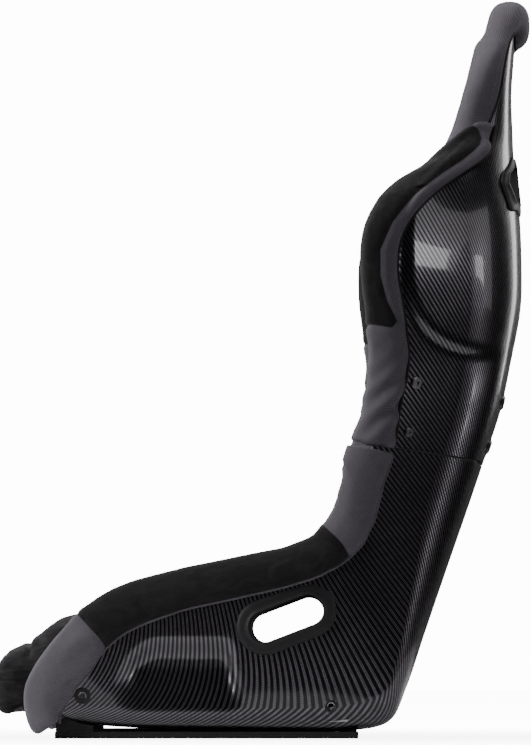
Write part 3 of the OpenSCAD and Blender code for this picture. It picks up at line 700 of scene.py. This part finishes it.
UPPER_PATCH = [(60, 480), (121, 483), (153, 478), (159, 485), (147, 508), (139, 537), (139, 567), (153, 599),
               (177, 631), (212, 660), (236, 677), (251, 690), (257, 697), (259, 705), (255, 715), (245, 722),
               (232, 723), (218, 719), (204, 711), (60, 711)]
LOWER_PATCH = [(-240, 170), (-211, 143), (-186, 116), (-172, 92), (-40, 120), (80, 165), (92, 186), (98, 200),
               (103, 212), (97, 224), (86, 236), (75, 246), (40, 300), (-100, 300)]


def profile(out, inn, up, thick):
    """Outer and inner chains of a bolster's section as (a, b) pairs, in the CAD's terms."""
    top = np.array([[out, 2.6], [out - 4, 5.5], [out * 0.4, 9.5], [-0.35 * up, 9], [-up, -2],
                    [-0.96 * up, -0.5 * thick], [-0.45 * up, -0.93 * thick], [inn * 0.25, -thick],
                    [inn * 0.8, -0.8 * thick], [inn, -T - 3.6]])
    o, i = 0.5, -1.1 * T - 0.5
    low = np.array([[out, o], [out - 4, o], [out * 0.4, o], [1, o], [-0.5, o], [-0.5, -T * 0.5], [-0.5, i],
                    [inn * 0.25, i], [inn * 0.8, i], [inn, i]])
    return top, low


# station, height of the cover's hem below the rim
THIGH_HEM = np.array([[-1.3, 3], [-0.6, 9], [0, 16.5], [0.6, 24], [1.2, 31], [1.76, 39],
                      [2.35, 41], [2.65, 32], [3, 29], [4, 22.5], [5, 21], [6, 19.5],
                      [7, 24], [8, 33], [9, 43], [10, 43], [11, 28], [12, 23]])
TORSO_HEM = np.array([[12, 22], [13, 15.5], [14, 18], [15, 15], [16, 11], [17, 16],
                      [18, 31], [19, 64], [20, 45], [21, 38], [22, 34]])
HOOD_HEM = np.array([[20, 48], [21, 44], [22, 33], [23, 27], [24, 28]])


def lookup(v, table):
    """Height of the hem at a station, read between the rows of its table."""
    if table is THIGH_HEM:   # its rows aren't one station apart
        return float(np.interp(v, table[:, 0], table[:, 1]))
    i = int(np.clip(math.floor(v - table[0, 0]), 0, len(table) - 2))
    t = float(np.clip(v - table[i, 0], 0, 1))
    y = table[:, 1]
    return float(cubic(y[max(i - 1, 0)], y[i], y[i + 1], y[min(i + 2, len(y) - 1)], t))


def forms(v, kind):
    """Outer reach, inner reach, height over the rim and thickness of a bolster at a station."""
    if kind == "thigh":
        h = float(wall_h(station(v)))
        inn = min(32 + 48 * smooth((v - 8.6) / 2), h - 6)
        return min(lookup(v, THIGH_HEM), h - 3), inn, 21 * slant(v) * (1.12 + 0.12 * smooth(-v)), 42
    return (lookup(v, TORSO_HEM), 70 - 34 * smooth((v - 17.5) / 3),
            21 * slant(v), 42 - 8 * smooth((v - 18) / 2))


def bolster(name, kind, v0, v1, side, rows, patch, ends):
    """ends: lengths (in stations) over which each end rounds off."""
    vs = np.linspace(v0, v1, rows)
    extra0 = v0 + (vs[1] - vs[0]) * np.array([0.0, 0.25, 0.5])
    extra1 = v1 - (vs[1] - vs[0]) * np.array([0.5, 0.25, 0.0])
    vs = np.concatenate([extra0, vs[1:-1], extra1])
    rings, A, B = [], [], []
    for v in vs:
        f = [float(x) for x in forms(np.float64(v), kind)]
        top, low = profile(*f)
        e = 0.3 + 0.7 * min(rounded((v - v0) / ends[0]), rounded((v1 - v) / ends[1]))
        t = spline(top, 5)
        l = spline(low, 2)
        at_t, at_l = np.linspace(0, 1, len(t)), np.linspace(0, 1, len(l))
        lt = np.stack([np.interp(at_t, at_l, l[:, k]) for k in (0, 1)], 1)
        t = lt + (t - lt) * e
        ring = np.concatenate([t, l[::-1]])
        at = np.full(len(ring), v)
        if kind == "torso":
            # the upper end is a rounded tongue lying over the foot of the hood
            drop = np.where(ring[:, 0] > 2, 0.42, 0.36) * np.minimum(1, ((ring[:, 0] - 2) / 36) ** 2)
            at -= smooth((v - 19.0) / 1.5) * drop
        rings.append(rim_point(at, side, ring[:, 0], ring[:, 1]))
        A.append(ring[:, 0])
        B.append(ring[:, 1])
    rings, A, B = np.array(rings), np.array(A), np.array(B)
    if kind == "thigh":
        # round the cloth over the front lip: the rings before station 2.6 are evened out
        keep = 1 - smooth((2.6 - vs[1:-1]) / 0.8)[:, None, None]
        for _ in range(130):
            even = 0.25 * rings[:-2] + 0.5 * rings[1:-1] + 0.25 * rings[2:]
            rings[1:-1] = rings[1:-1] * keep + even * (1 - keep)
    o = ring_mesh(name, rings, CLOTH)
    p = vertex_array(o)
    a, b = A.ravel(), B.ravel()
    n = normal_array(o)
    outside = (b > 0.8) | ((a < 0) & (b > -20))
    sd = polygon_distance(p[:, 0], p[:, 2], patch)
    if kind == "torso":
        ends_sd = p[:, 2] - 480
    else:
        ends_sd = np.minimum((p[:, 0] + 212) + 0.3 * (p[:, 2] - 130), 262 - p[:, 2])
    w = smooth((b + 24) / 18)
    blend = w * np.maximum(sd, ends_sd - 30) + (1 - w) * ends_sd
    sd = np.where(b > -6, sd, np.where(b < -24, ends_sd, blend))
    # cloth: soft waves, slanting folds above the joint and a pinch along the patch's seam
    move = 0.5 * wobble(p, 38, side) + 0.25 * wobble(p, 13, 5)
    if kind == "torso":
        env = np.exp(-((p[:, 2] - 388) / 46) ** 2)
        fold = np.sin((p[:, 2] - 0.85 * p[:, 0] + 5 * wobble(p, 60)) / 4.6)
        move += 2.3 * env * fold * smooth((30 - np.abs(a)) / 20)
        move += 1.3 * np.exp(-((p[:, 2] - 350) / 12) ** 2)
        move += 0.8 * np.exp(-((p[:, 2] - 455) / 30) ** 2) * np.sin((p[:, 2] + 0.5 * p[:, 0]) / 7.0)
    else:
        move += 0.9 * np.exp(-(((p[:, 0] - 70) / 40) ** 2 + ((p[:, 2] - 250) / 40) ** 2)) * np.sin(
            (p[:, 0] * 0.8 + p[:, 2] * 0.3) / 5.0)
        move += 1.3 * np.exp(-(((p[:, 0] + 212) / 16) ** 2)) * np.sin((p[:, 2] * 0.9 - p[:, 0] * 0.3) / 5.0)
    move -= 1.3 * np.exp(-(sd / 2.4) ** 2) - 0.5 * np.exp(-((np.abs(sd) - 7) / 5) ** 2)
    skin = (b > 1.2) | (a < -1) | (b < -T - 2.5)
    p = p + n * (move * skin)[:, None]
    p[:, 2] = np.maximum(p[:, 2], 0.3)
    set_vertices(o, p)
    add_value(o, "patch", sd * MM)
    return o


def hem_line(kind, v0, v1, side, rows=220, lift=1.9):
    vs = np.linspace(v0, v1, rows)
    pts = [rim_point(np.float64(v), side, float(forms(np.float64(v), kind)[0]) + 0.6, lift) for v in vs]
    return np.array(pts)


# kind: start and end station, rings, patch, rounding of the ends, hem's start and end, radius, cloth
BOLSTERS = {
    "thigh": (-1.5, SEAM - 0.13, 230, LOWER_PATCH, (0.3, 0.12), -1.0, SEAM - 0.2, 1.5, WEAVE),
    "torso": (SEAM + 0.02, 20.55, 250, UPPER_PATCH, (0.14, 0.16), SEAM + 0.12, 20.05, 2.0, BINDING)}
SIDES = ((-1, "left"), (1, "right"))
for side, word in SIDES:
    for kind, (v0, v1, rows, patch, ends, h0, h1, hem_r, hem_cloth) in BOLSTERS.items():
        o = bolster(f"{kind}_bolster_{word}", kind, v0, v1, side, rows, patch, ends)
        hem = tube("hem", hem_line(kind, h0, h1, side), hem_r, hem_cloth)
        o = join(o.name, [o, hem])
        finish_soft(o, "grey_weave", 0.85, f"{kind}_bolster_cover_{word}", f"{kind}_bolster_foam_{word}")

# ---------------------------------------------------------------- headrest hood


def unit(a):
    return a / (np.linalg.norm(a, axis=-1, keepdims=True) + 1e-12)


def wing_frame(v, side):
    p = shell_point(v, 3.0, side)
    u = unit(shell_point(v, 2.6, side) - p)
    b = np.array([0.0, side, 0.0])
    b = unit(b - u * (b @ u))
    slim = 2.5 * float(smooth((21.1 - v) / 0.5))
    return p, u, b, np.array([20 - 4 * float(smooth((v - 21.9) / 1.0)), lookup(v, HOOD_HEM), 33, 9.5 - slim])


def top_frame(q, side):
    return (shell_point(TOP, q, side), np.array([1.0, 0, 0]), unit(np.array([0, side * 0.3 * q, 1.0])),
            np.array([32, 16, 27, 31 - 3 * q]))


def mix_frame(f, g, t):
    return (f[0] * (1 - t) + g[0] * t, unit(f[1] * (1 - t) + g[1] * t), unit(f[2] * (1 - t) + g[2] * t),
            f[3] * (1 - t) + g[3] * t)


HOOD_SIDES = 56                              # points around one ring of the hood
HOOD_START, HOOD_WING_END, HOOD_CORNER = 19.85, 23.3, 23.75


def smoothed(X):
    X[1:-1] = 0.25 * X[:-2] + 0.5 * X[1:-1] + 0.25 * X[2:]


def hood():
    w, t1 = wing_frame(HOOD_CORNER, 1), top_frame(1.0, 1)
    m = mix_frame(w, t1, 0.42)
    half = [wing_frame(v, 1) for v in np.linspace(HOOD_START, HOOD_WING_END, 9)]
    half += [(w[0], m[1], m[2], m[3]), t1, top_frame(0.5, 1)]
    flip = np.array([1, -1, 1])
    mirrored = [(f[0] * flip, f[1] * flip, f[2] * flip, f[3]) for f in half]
    frames = mirrored + [top_frame(0.0, 1)] + half[::-1]
    P, U, B, M = (spline(np.array([f[k] for f in frames]), 9) for k in range(4))
    for _ in range(50):
        for X in (P, U, B, M):
            smoothed(X)
    U, B = unit(U), unit(B - U * (B * U).sum(1)[:, None])
    tang = unit(np.gradient(P, axis=0))
    m = len(P)
    th = np.arange(HOOD_SIDES) / HOOD_SIDES * 2 * math.pi
    c = np.sign(np.cos(th)) * np.abs(np.cos(th)) ** 0.8
    d = np.sign(np.sin(th)) * np.abs(np.sin(th)) ** 0.8
    rings, A, Bv = [], [], []
    for j in range(m):
        fr, re, inn, out = M[j]
        e = min(j, m - 1 - j)
        f = (0.93, 0.975, 0.995)[e] if e < 3 else 1.0
        ca, ha, cb, hb = (re - fr) / 2, (re + fr) / 2 * f, (out - inn) / 2, (out + inn) / 2 * f
        a, b = ca + ha * c, cb + hb * d
        # the lower hem arches up over the shoulder padding at the front
        near = max(0.0, 1 - e / 12.0)
        lift = (7 + 2 * np.exp(-((a - 6) / 12) ** 2)) * smooth((26 - a) / 20) * near
        toward = 1 if j < m / 2 else -1
        rings.append(P[j] + U[j] * a[:, None] + B[j] * b[:, None] + toward * tang[j] * lift[:, None])
        A.append(a)
        Bv.append(b)
    R = np.array(rings)
    o = ring_mesh("headrest_hood", R, CLOTH)
    p, n = vertex_array(o), normal_array(o)
    a, b = np.array(A).ravel(), np.array(Bv).ravel()
    # side seam just behind the crown of the tube, and soft waves
    mm = np.repeat(M, HOOD_SIDES, axis=0)
    seam = a - (mm[:, 1] * 0.62)
    move = 0.6 * wobble(p, 45, 2) + 0.35 * wobble(p, 15, 9)
    wing = smooth((np.abs(p[:, 1]) - 60) / 30)
    move -= 1.3 * np.exp(-(seam / 2.0) ** 2) * (b > 0) * wing
    j = np.repeat(np.minimum(np.arange(m), m - 1 - np.arange(m)), HOOD_SIDES)
    move += 0.8 * np.exp(-((j - 1.5) / 1.5) ** 2)
    set_vertices(o, p + n * move[:, None])
    add_value(o, "patch", np.full(len(p), -1.0))
    # hem where the tube meets the shell's outer face
    bpy.context.view_layer.update()
    tree = BVHTree.FromObject(upper, bpy.context.evaluated_depsgraph_get())
    hem = []
    for j in range(5, m - 5):
        last = None
        for k in [x % HOOD_SIDES for x in range(14, -22, -1)]:
            q = Vector([float(x) * MM for x in R[j, k]])
            at, nor, _, dist = tree.find_nearest(q)
            s = (q - at).dot(nor)
            if last is not None and s <= 0 and dist < 0.012:
                t = last[1] / max(1e-9, last[1] - s)
                hp = last[0].lerp(q, t)
                at, nor, _, _ = tree.find_nearest(hp)
                hem.append([x / MM for x in (at + nor * 0.9 * MM)])
                break
            last = (q, s)
    hem = np.array(hem)
    for _ in range(6):
        smoothed(hem)
    return join("headrest_hood", [o, tube("hem", hem, 2.0, BINDING)])


finish_soft(hood(), "grey_weave", 0.85, "headrest_hood_cover", "headrest_hood_foam")

# ---------------------------------------------------------------- cushions


def inflate(o, pressure, cap, voxel=0.005, frames=20):
    """Voxel remesh, cloth pressure with no gravity, capped and applied."""
    rm = o.modifiers.new("r", "REMESH")
    rm.mode = "VOXEL"
    rm.voxel_size = voxel
    bpy.context.view_layer.objects.active = o
    bpy.ops.object.select_all(action="DESELECT")
    o.select_set(True)
    bpy.ops.object.modifier_apply(modifier="r")
    rest = vertex_array(o)
    cl = o.modifiers.new("c", "CLOTH")
    st = cl.settings
    st.use_pressure = True
    st.uniform_pressure_force = pressure
    st.quality = 4
    st.mass = 0.25
    st.tension_stiffness = st.compression_stiffness = 12
    st.shear_stiffness = 8
    st.bending_stiffness = 1.5
    st.effector_weights.gravity = 0
    cl.collision_settings.use_collision = False
    sc = bpy.context.scene
    cl.point_cache.frame_start, cl.point_cache.frame_end = 1, frames
    for f in range(1, frames + 1):
        sc.frame_set(f)
    dg = bpy.context.evaluated_depsgraph_get()
    ev = o.evaluated_get(dg)
    me = ev.to_mesh()
    co = np.empty(len(me.vertices) * 3)
    me.vertices.foreach_get("co", co)
    ev.to_mesh_clear()
    moved = co.reshape(-1, 3) / MM
    o.modifiers.remove(cl)
    sc.frame_set(1)
    d = moved - rest
    l = np.linalg.norm(d, axis=1)[:, None] + 1e-9
    set_vertices(o, rest + d * np.minimum(1, cap / l))
    sub = o.modifiers.new("s", "SUBSURF")
    sub.levels = sub.render_levels = 1
    bpy.ops.object.modifier_apply(modifier="s")
    o.data.shade_smooth()
    return o


# x, z of the seat cushion's upper and lower outline, from the back to the nose
SEAT_TOP = np.array([[128, 60], [80, 73], [20, 87], [-60, 106], [-130, 129], [-185, 144], [-218, 145],
                     [-246, 129], [-266, 112], [-277, 105], [-289, 101], [-303, 93], [-311, 83],
                     [-316, 66], [-316, 49], [-312, 37], [-305, 31], [-294, 28]], float)
SEAT_LOW = np.array([[122, 26], [75, 29], [20, 38], [-50, 50], [-110, 60], [-160, 67], [-196, 71], [-220, 70],
                     [-236, 67], [-247, 62], [-255, 57], [-259, 53], [-261, 49], [-262, 46], [-264, 43],
                     [-267, 39], [-272, 35], [-282, 32]], float)


def seat_cushion():
    top, low = spline(SEAT_TOP, 4), spline(SEAT_LOW, 4)
    rings = []
    for k in np.linspace(-1, 1, 41):
        y = 160 * k
        e = math.sqrt(max(0.0, 1 - max(0.0, abs(y) - 138) ** 2 / 22.0 ** 2)) * 0.9 + 0.1
        mid = (top + low) / 2
        t = mid + (top - mid) * (0.35 + 0.65 * e) - [0, 8 * abs(k) ** 4]
        l = mid + (low - mid) * (0.5 + 0.5 * e)
        ring = np.vstack([t, l[::-1]])
        rings.append(np.stack([ring[:, 0], np.full(len(ring), y * 0.985), ring[:, 1]], 1))
    return ring_mesh("seat_cushion", np.array(rings), SUEDE)


def back_shape(name, v0, v1, hw, low, high, mat, rows=40, cols=28, edge=0.22):
    """Pillow lying on the back between two stations."""
    vs = np.linspace(v0, v1, rows)
    rings = []
    for v in vs:
        r = min(v - v0, v1 - v) / (v1 - v0)
        e = rounded(r / edge)
        s = station(np.float64(v))
        ks = np.linspace(-1, 1, cols)
        rad = np.abs(ks)
        c = np.sqrt(np.clip(1 - np.clip((rad - 0.78) / 0.22, 0, 1) ** 2, 0, 1))
        hi = low + (high - low) * (0.35 + 0.65 * e) * (0.4 + 0.6 * c)
        lo = np.full(cols, float(low))
        width = hw * (0.94 + 0.06 * e)
        y = np.concatenate([ks * width, ks[::-1] * width])
        w = np.concatenate([hi, lo])
        x, z = xz(s, w)
        rings.append(np.stack([x, y, z], 1))
    return ring_mesh(name, np.array(rings), mat)


def channels(o, lines, depth, width):
    """Sewn channels: each line is a function of the vertices giving distance in mm."""
    p, n = vertex_array(o), normal_array(o)
    move = np.zeros(len(p))
    for fn in lines:
        d, keep = fn(p)
        shoulder = 0.35 * depth * np.exp(-((np.abs(d) - 3.2 * width) / (1.8 * width)) ** 2)
        move -= (depth * np.exp(-(d / width) ** 2) - shoulder) * keep
    set_vertices(o, p + n * move[:, None])


def project(o, pts, direction, lift=0.4):
    dg = bpy.context.evaluated_depsgraph_get()
    tree = BVHTree.FromObject(o, dg)
    out = []
    dv = Vector(direction).normalized()
    for p in pts:
        a = Vector([float(k) * MM for k in p]) - dv * 0.2
        hit = tree.ray_cast(a, dv)
        if hit[0] is not None:
            out.append([k / MM for k in (hit[0] - dv * lift * MM)])
    return np.array(out)


def stitches(name, path, length=4.2, gap=2.0, r=0.42):
    """Short raised thread lengths along a path (mm)."""
    path = np.asarray(path)
    seg = np.linalg.norm(np.diff(path, axis=0), axis=1)
    s = np.concatenate([[0], np.cumsum(seg)])
    verts, faces = [], []
    k = 0.0
    while k + length < s[-1]:
        ends = [np.array([np.interp(t, s, path[:, i]) for i in range(3)])
                for t in (k, k + length * 0.5, k + length)]
        t = unit(ends[2] - ends[0])
        u = unit(np.cross(t, [0.31, 0.2, 0.93]))
        w = np.cross(t, u)
        base = len(verts)
        for e, rr in zip(ends, (0.35, 1.0, 0.35)):
            for a in range(6):
                verts.append(e + r * rr * (math.cos(a * math.pi / 3) * u + math.sin(a * math.pi / 3) * w))
        for j in range(2):
            for a in range(6):
                b = (a + 1) % 6
                faces.append((base + j * 6 + a, base + j * 6 + b, base + j * 6 + 6 + b, base + j * 6 + 6 + a))
        faces.append(tuple(base + a for a in range(5, -1, -1)))
        faces.append(tuple(base + 12 + a for a in range(6)))
        k += length + gap
    return make(name, verts, faces, THREAD)


sc_o = inflate(seat_cushion(), 3.0, 6)
channels(sc_o, [
    lambda p: (np.abs(p[:, 1]) - 92, (p[:, 0] > -300) * (p[:, 2] > 52)),
    lambda p: (p[:, 0] + 274, (np.abs(p[:, 1]) < 158) * (p[:, 2] > 95)),
    lambda p: (p[:, 0] + 120, (np.abs(p[:, 1]) < 92) * (p[:, 2] > 80)),
    lambda p: (p[:, 0] + 10, (np.abs(p[:, 1]) < 92) * (p[:, 2] > 60)),
], 2.6, 2.2)
threads = []
for y in (-95.5, 95.5, -88.5, 88.5):
    xs = np.linspace(110, -292, 160)
    path = project(sc_o, np.stack([xs, np.full(160, y), np.full(160, 150.0)], 1), (0, 0, -1))
    threads.append(stitches("st", path))
sc_o = join("seat_cushion", [sc_o, *threads])
finish_soft(sc_o, "black_suede", 0.8, "seat_cushion_cover", "seat_cushion_foam")

BACK_LOW = T + 0.4 + 3 + 8.6   # laminate, gap, tongue, and room for the nuts behind the cushion
bc = inflate(back_shape("back_cushion", 9.5, 17.0, 132, BACK_LOW, 49, SUEDE, rows=90), 3.0, 5)
channels(bc, [
    lambda p: (np.abs(p[:, 1]) - 78, p[:, 0] < 262),
    lambda p: (p[:, 2] - 448, (np.abs(p[:, 1]) < 78) * (p[:, 0] < 262)),
    lambda p: (p[:, 2] - 540, (np.abs(p[:, 1]) < 78) * (p[:, 0] < 272)),
], 2.4, 2.2)
threads = []
for y in (-81.5, 81.5, -74.5, 74.5):
    zs = np.linspace(370, 600, 110)
    path = project(bc, np.stack([np.full(110, 150.0), np.full(110, y), zs], 1), (1, 0, 0))
    threads.append(stitches("st", path))
bc = join("back_cushion", [bc, *threads])
finish_soft(bc, "black_suede", 0.8, "back_cushion_cover", "back_cushion_foam")

lp = back_shape("lumbar_pillow", 10.42, 12.58, 106, 52.8, 65, SUEDE, rows=50, edge=0.3)
lp = inflate(lp, 2.0, 3, voxel=0.004)
finish_soft(lp, "black_suede", 0.75, "lumbar_pad")

hc = back_shape("head_pillow", 20.65, 22.7, 81, 8.4, 31, WEAVE, rows=50, edge=0.3)
hc = inflate(hc, 2.0, 4, voxel=0.004)
channels(hc, [lambda p: (np.abs(p[:, 1]) - 52, p[:, 0] < 272)], 2.0, 2.0)
finish_soft(hc, "grey_weave", 0.8, "head_cushion")

# ---------------------------------------------------------------- bezels

WALL = float(wall_y(station(5.7), np.float64(128)))   # distance of the wall at the slot from the middle


def lap_bezel(side, word):
    r0 = SLOT["r"]
    # distance out from the slot's edge, height above the wall
    prof = [(r0 + r, h) for r, h in (
        (0, -11), (0, 4.2), (0.5, 5.4), (1.5, 5.9), (2.6, 5.4), (3.4, 4.7), (8, 4.5), (12.2, 4.0),
        (13.8, 3.3), (14.8, 2.2), (15.2, 0.9), (15.0, 0.3), (3.6, 0.3), (3.6, -4.6), (9, -4.6), (9.6, -5.6),
        (9, -6.8), (3.6, -7.2), (3.0, -10.4))]
    rings = []
    steps = 96
    c, s = math.cos(SLOT["tilt"]), math.sin(SLOT["tilt"])
    for k in range(steps):
        a = k / steps * 2 * math.pi
        ca, sa = math.cos(a), math.sin(a)
        cx = SLOT["half"] * (1 if ca >= 0 else -1)
        if k in (steps // 4, steps * 3 // 4):
            cx = 0
        ring = []
        for r, h in prof:
            u, w = cx + r * ca, r * sa
            ring.append((SLOT["x"] + u * c - w * s, side * (WALL + h), SLOT["z"] + u * s + w * c))
        rings.append(ring)
    return crease(ring_mesh(f"lap_belt_bezel_ring_{word}", rings, BEZEL, closed=True), 55)


def belt_bezel(side, word):
    def loop(poly):
        p = []
        for a, b in zip(poly, np.roll(poly, -1, 0)):
            for t in (0.06, 0.2, 0.35, 0.5, 0.65, 0.8, 0.94):
                p.append(a + (b - a) * t)
        return np.array(p)
    inner, outer = loop(BELT_HOLE), loop(BELT_RIM)
    # share of the way from the hole to the rim, depth below the outer face
    prof = [(0.0, 8.0), (0.0, -3.6), (0.05, -4.3), (0.16, -4.3), (0.2, -3.6), (0.72, -3.2), (0.93, -2.4),
            (1.0, -1.2), (1.0, -0.2), (0.42, -0.2), (0.42, 0.3), (0.28, 4.5), (0.55, 4.6), (0.6, 6.0),
            (0.25, 8.0)]
    rings = []
    for a, b in zip(inner, outer):
        vq = np.array([a + (b - a) * t for t, _ in prof])
        off = np.array([h for _, h in prof])
        rings.append(shell_point(vq[:, 0], vq[:, 1], side, off))
    return crease(ring_mesh(f"shoulder_belt_bezel_ring_{word}", rings, BEZEL, closed=True), 40)


for side, word in SIDES:
    finish(lap_bezel(side, word), "bezel_plastic", f"lap_belt_bezel_{word}")
    finish(belt_bezel(side, word), "bezel_plastic", f"shoulder_belt_bezel_{word}")

# ---------------------------------------------------------------- hardware kept from the CAD

for name, mat, width in (
        ("joint_tongue", INNER, 0), ("side_joint_bolts", BLACK, 0.35), ("side_joint_nuts", ZINC, 0.4),
        ("back_joint_bolts", BLACK, 0.4), ("back_joint_nuts", ZINC, 0.4), ("side_mount_plates", ZINC, 0.4),
        ("side_mount_rings", BEZEL, 0.2), ("base_rail_left", RAIL, 1.0), ("base_rail_right", RAIL, 1.0),
        ("rail_spacers", RAIL, 0.5), ("rail_screws", ZINC, 0.4), ("seat_hook_tapes", TAPE, 0),
        ("back_hook_tapes", TAPE, 0)):
    o = nodes[name]
    o.data.materials.clear()
    o.data.materials.append(mat)
    if width:
        bv = o.modifiers.new("bevel", "BEVEL")
        bv.width = width * MM
        bv.segments = 2
        bv.limit_method = "ANGLE"
        bv.angle_limit = math.radians(32)
        bv.harden_normals = False

# ---------------------------------------------------------------- floor, light and camera

def disc(name, r, z, mat):
    bpy.ops.mesh.primitive_circle_add(vertices=128, radius=r, fill_type="NGON", location=(0, 0, z))
    o = bpy.context.object
    o.name = name
    o.data.materials.append(mat)
    return o


fm, ft, fb = material("pale_floor", (0.86, 0.86, 0.87), 0.6)
fn = N(ft, "ShaderNodeTexNoise", Scale=3.0, Detail=2.0)
L(ft, mix_color(ft, fn.outputs[0], (0.85, 0.85, 0.86), (0.88, 0.88, 0.89)), fb.inputs["Base Color"])
bounce = disc("floor_bounce", 0.62, -0.0015, fm)
bounce.visible_camera = False
# the seen floor brightens outward into the white backdrop
sm, st_, sb = material("pale_floor_seen", (0.86, 0.86, 0.87), 0.6)
tc = N(st_, "ShaderNodeTexCoord")
ln = N(st_, "ShaderNodeVectorMath", operation="LENGTH")
L(st_, tc.outputs["Object"], ln.inputs[0])
L(st_, ramp(st_, mul(st_, ln.outputs["Value"], 0.5),
            [(0.15, (0.55, 0.55, 0.55)), (0.5, (1, 1, 1))]), sb.inputs["Emission Color"])
sb.inputs["Emission Strength"].default_value = 12.0
seen = disc("floor_seen", 9.0, -0.0008, sm)
seen.visible_diffuse = seen.visible_glossy = seen.visible_shadow = False

world = bpy.data.worlds.new("studio")
bpy.context.scene.world = world
world.use_nodes = True
wt = world.node_tree
bg = wt.nodes["Background"]
lp_node = wt.nodes.new("ShaderNodeLightPath")
L(wt, mix_color(wt, lp_node.outputs["Is Camera Ray"], (0.04, 0.04, 0.0405), (14.0, 14.0, 14.0)), bg.inputs[0])
bg.inputs[1].default_value = 1.0


def area(name, loc, target, size, energy, size_y=None):
    l = bpy.data.lights.new(name, "AREA")
    l.energy = energy
    l.size = size
    if size_y:
        l.shape = "RECTANGLE"
        l.size_y = size_y
    o = bpy.data.objects.new(name, l)
    o.location = loc
    o.rotation_euler = (Vector(target) - Vector(loc)).to_track_quat("-Z", "Y").to_euler()
    bpy.context.scene.collection.objects.link(o)


area("top", (-0.4, -0.2, 3.2), (0, 0, 0.4), 3.4, 150)
area("front_near", (-3.1, -1.7, 1.5), (0, 0, 0.5), 1.2, 200, 2.2)
area("front_far", (-2.5, 2.3, 1.5), (0, 0, 0.5), 1.1, 60, 2.2)
area("side_near", (2.7, -2.1, 0.3), (0.2, 0, 0.2), 0.8, 15, 0.6)
area("rear_near", (2.8, -1.5, 1.1), (0.2, 0, 0.4), 2.2, 28, 2.4)
area("rear_far", (2.5, 2.5, 1.2), (0.2, 0, 0.4), 1.2, 42, 2.2)

CAMERA_TARGET = Vector((0.0037, 0, 0.4361))
CAMERA_DISTANCE, CAMERA_HEIGHT, CAMERA_TURN = 8.0, 0.105, math.radians(0.5)
cam = bpy.data.cameras.new("camera")
co = bpy.data.objects.new("camera", cam)
bpy.context.scene.collection.objects.link(co)
reach = math.sqrt(CAMERA_DISTANCE ** 2 - (CAMERA_HEIGHT - CAMERA_TARGET.z) ** 2)
co.location = (CAMERA_TARGET.x + math.sin(CAMERA_TURN) * reach, -math.cos(CAMERA_TURN) * reach, CAMERA_HEIGHT)
co.rotation_euler = (CAMERA_TARGET - co.location).to_track_quat("-Z", "Y").to_euler()
cam.sensor_fit = "VERTICAL"
cam.sensor_height = 36
cam.lens = 322.2
cam.clip_end = 60
bpy.context.scene.camera = co

bpy.context.view_layer.update()
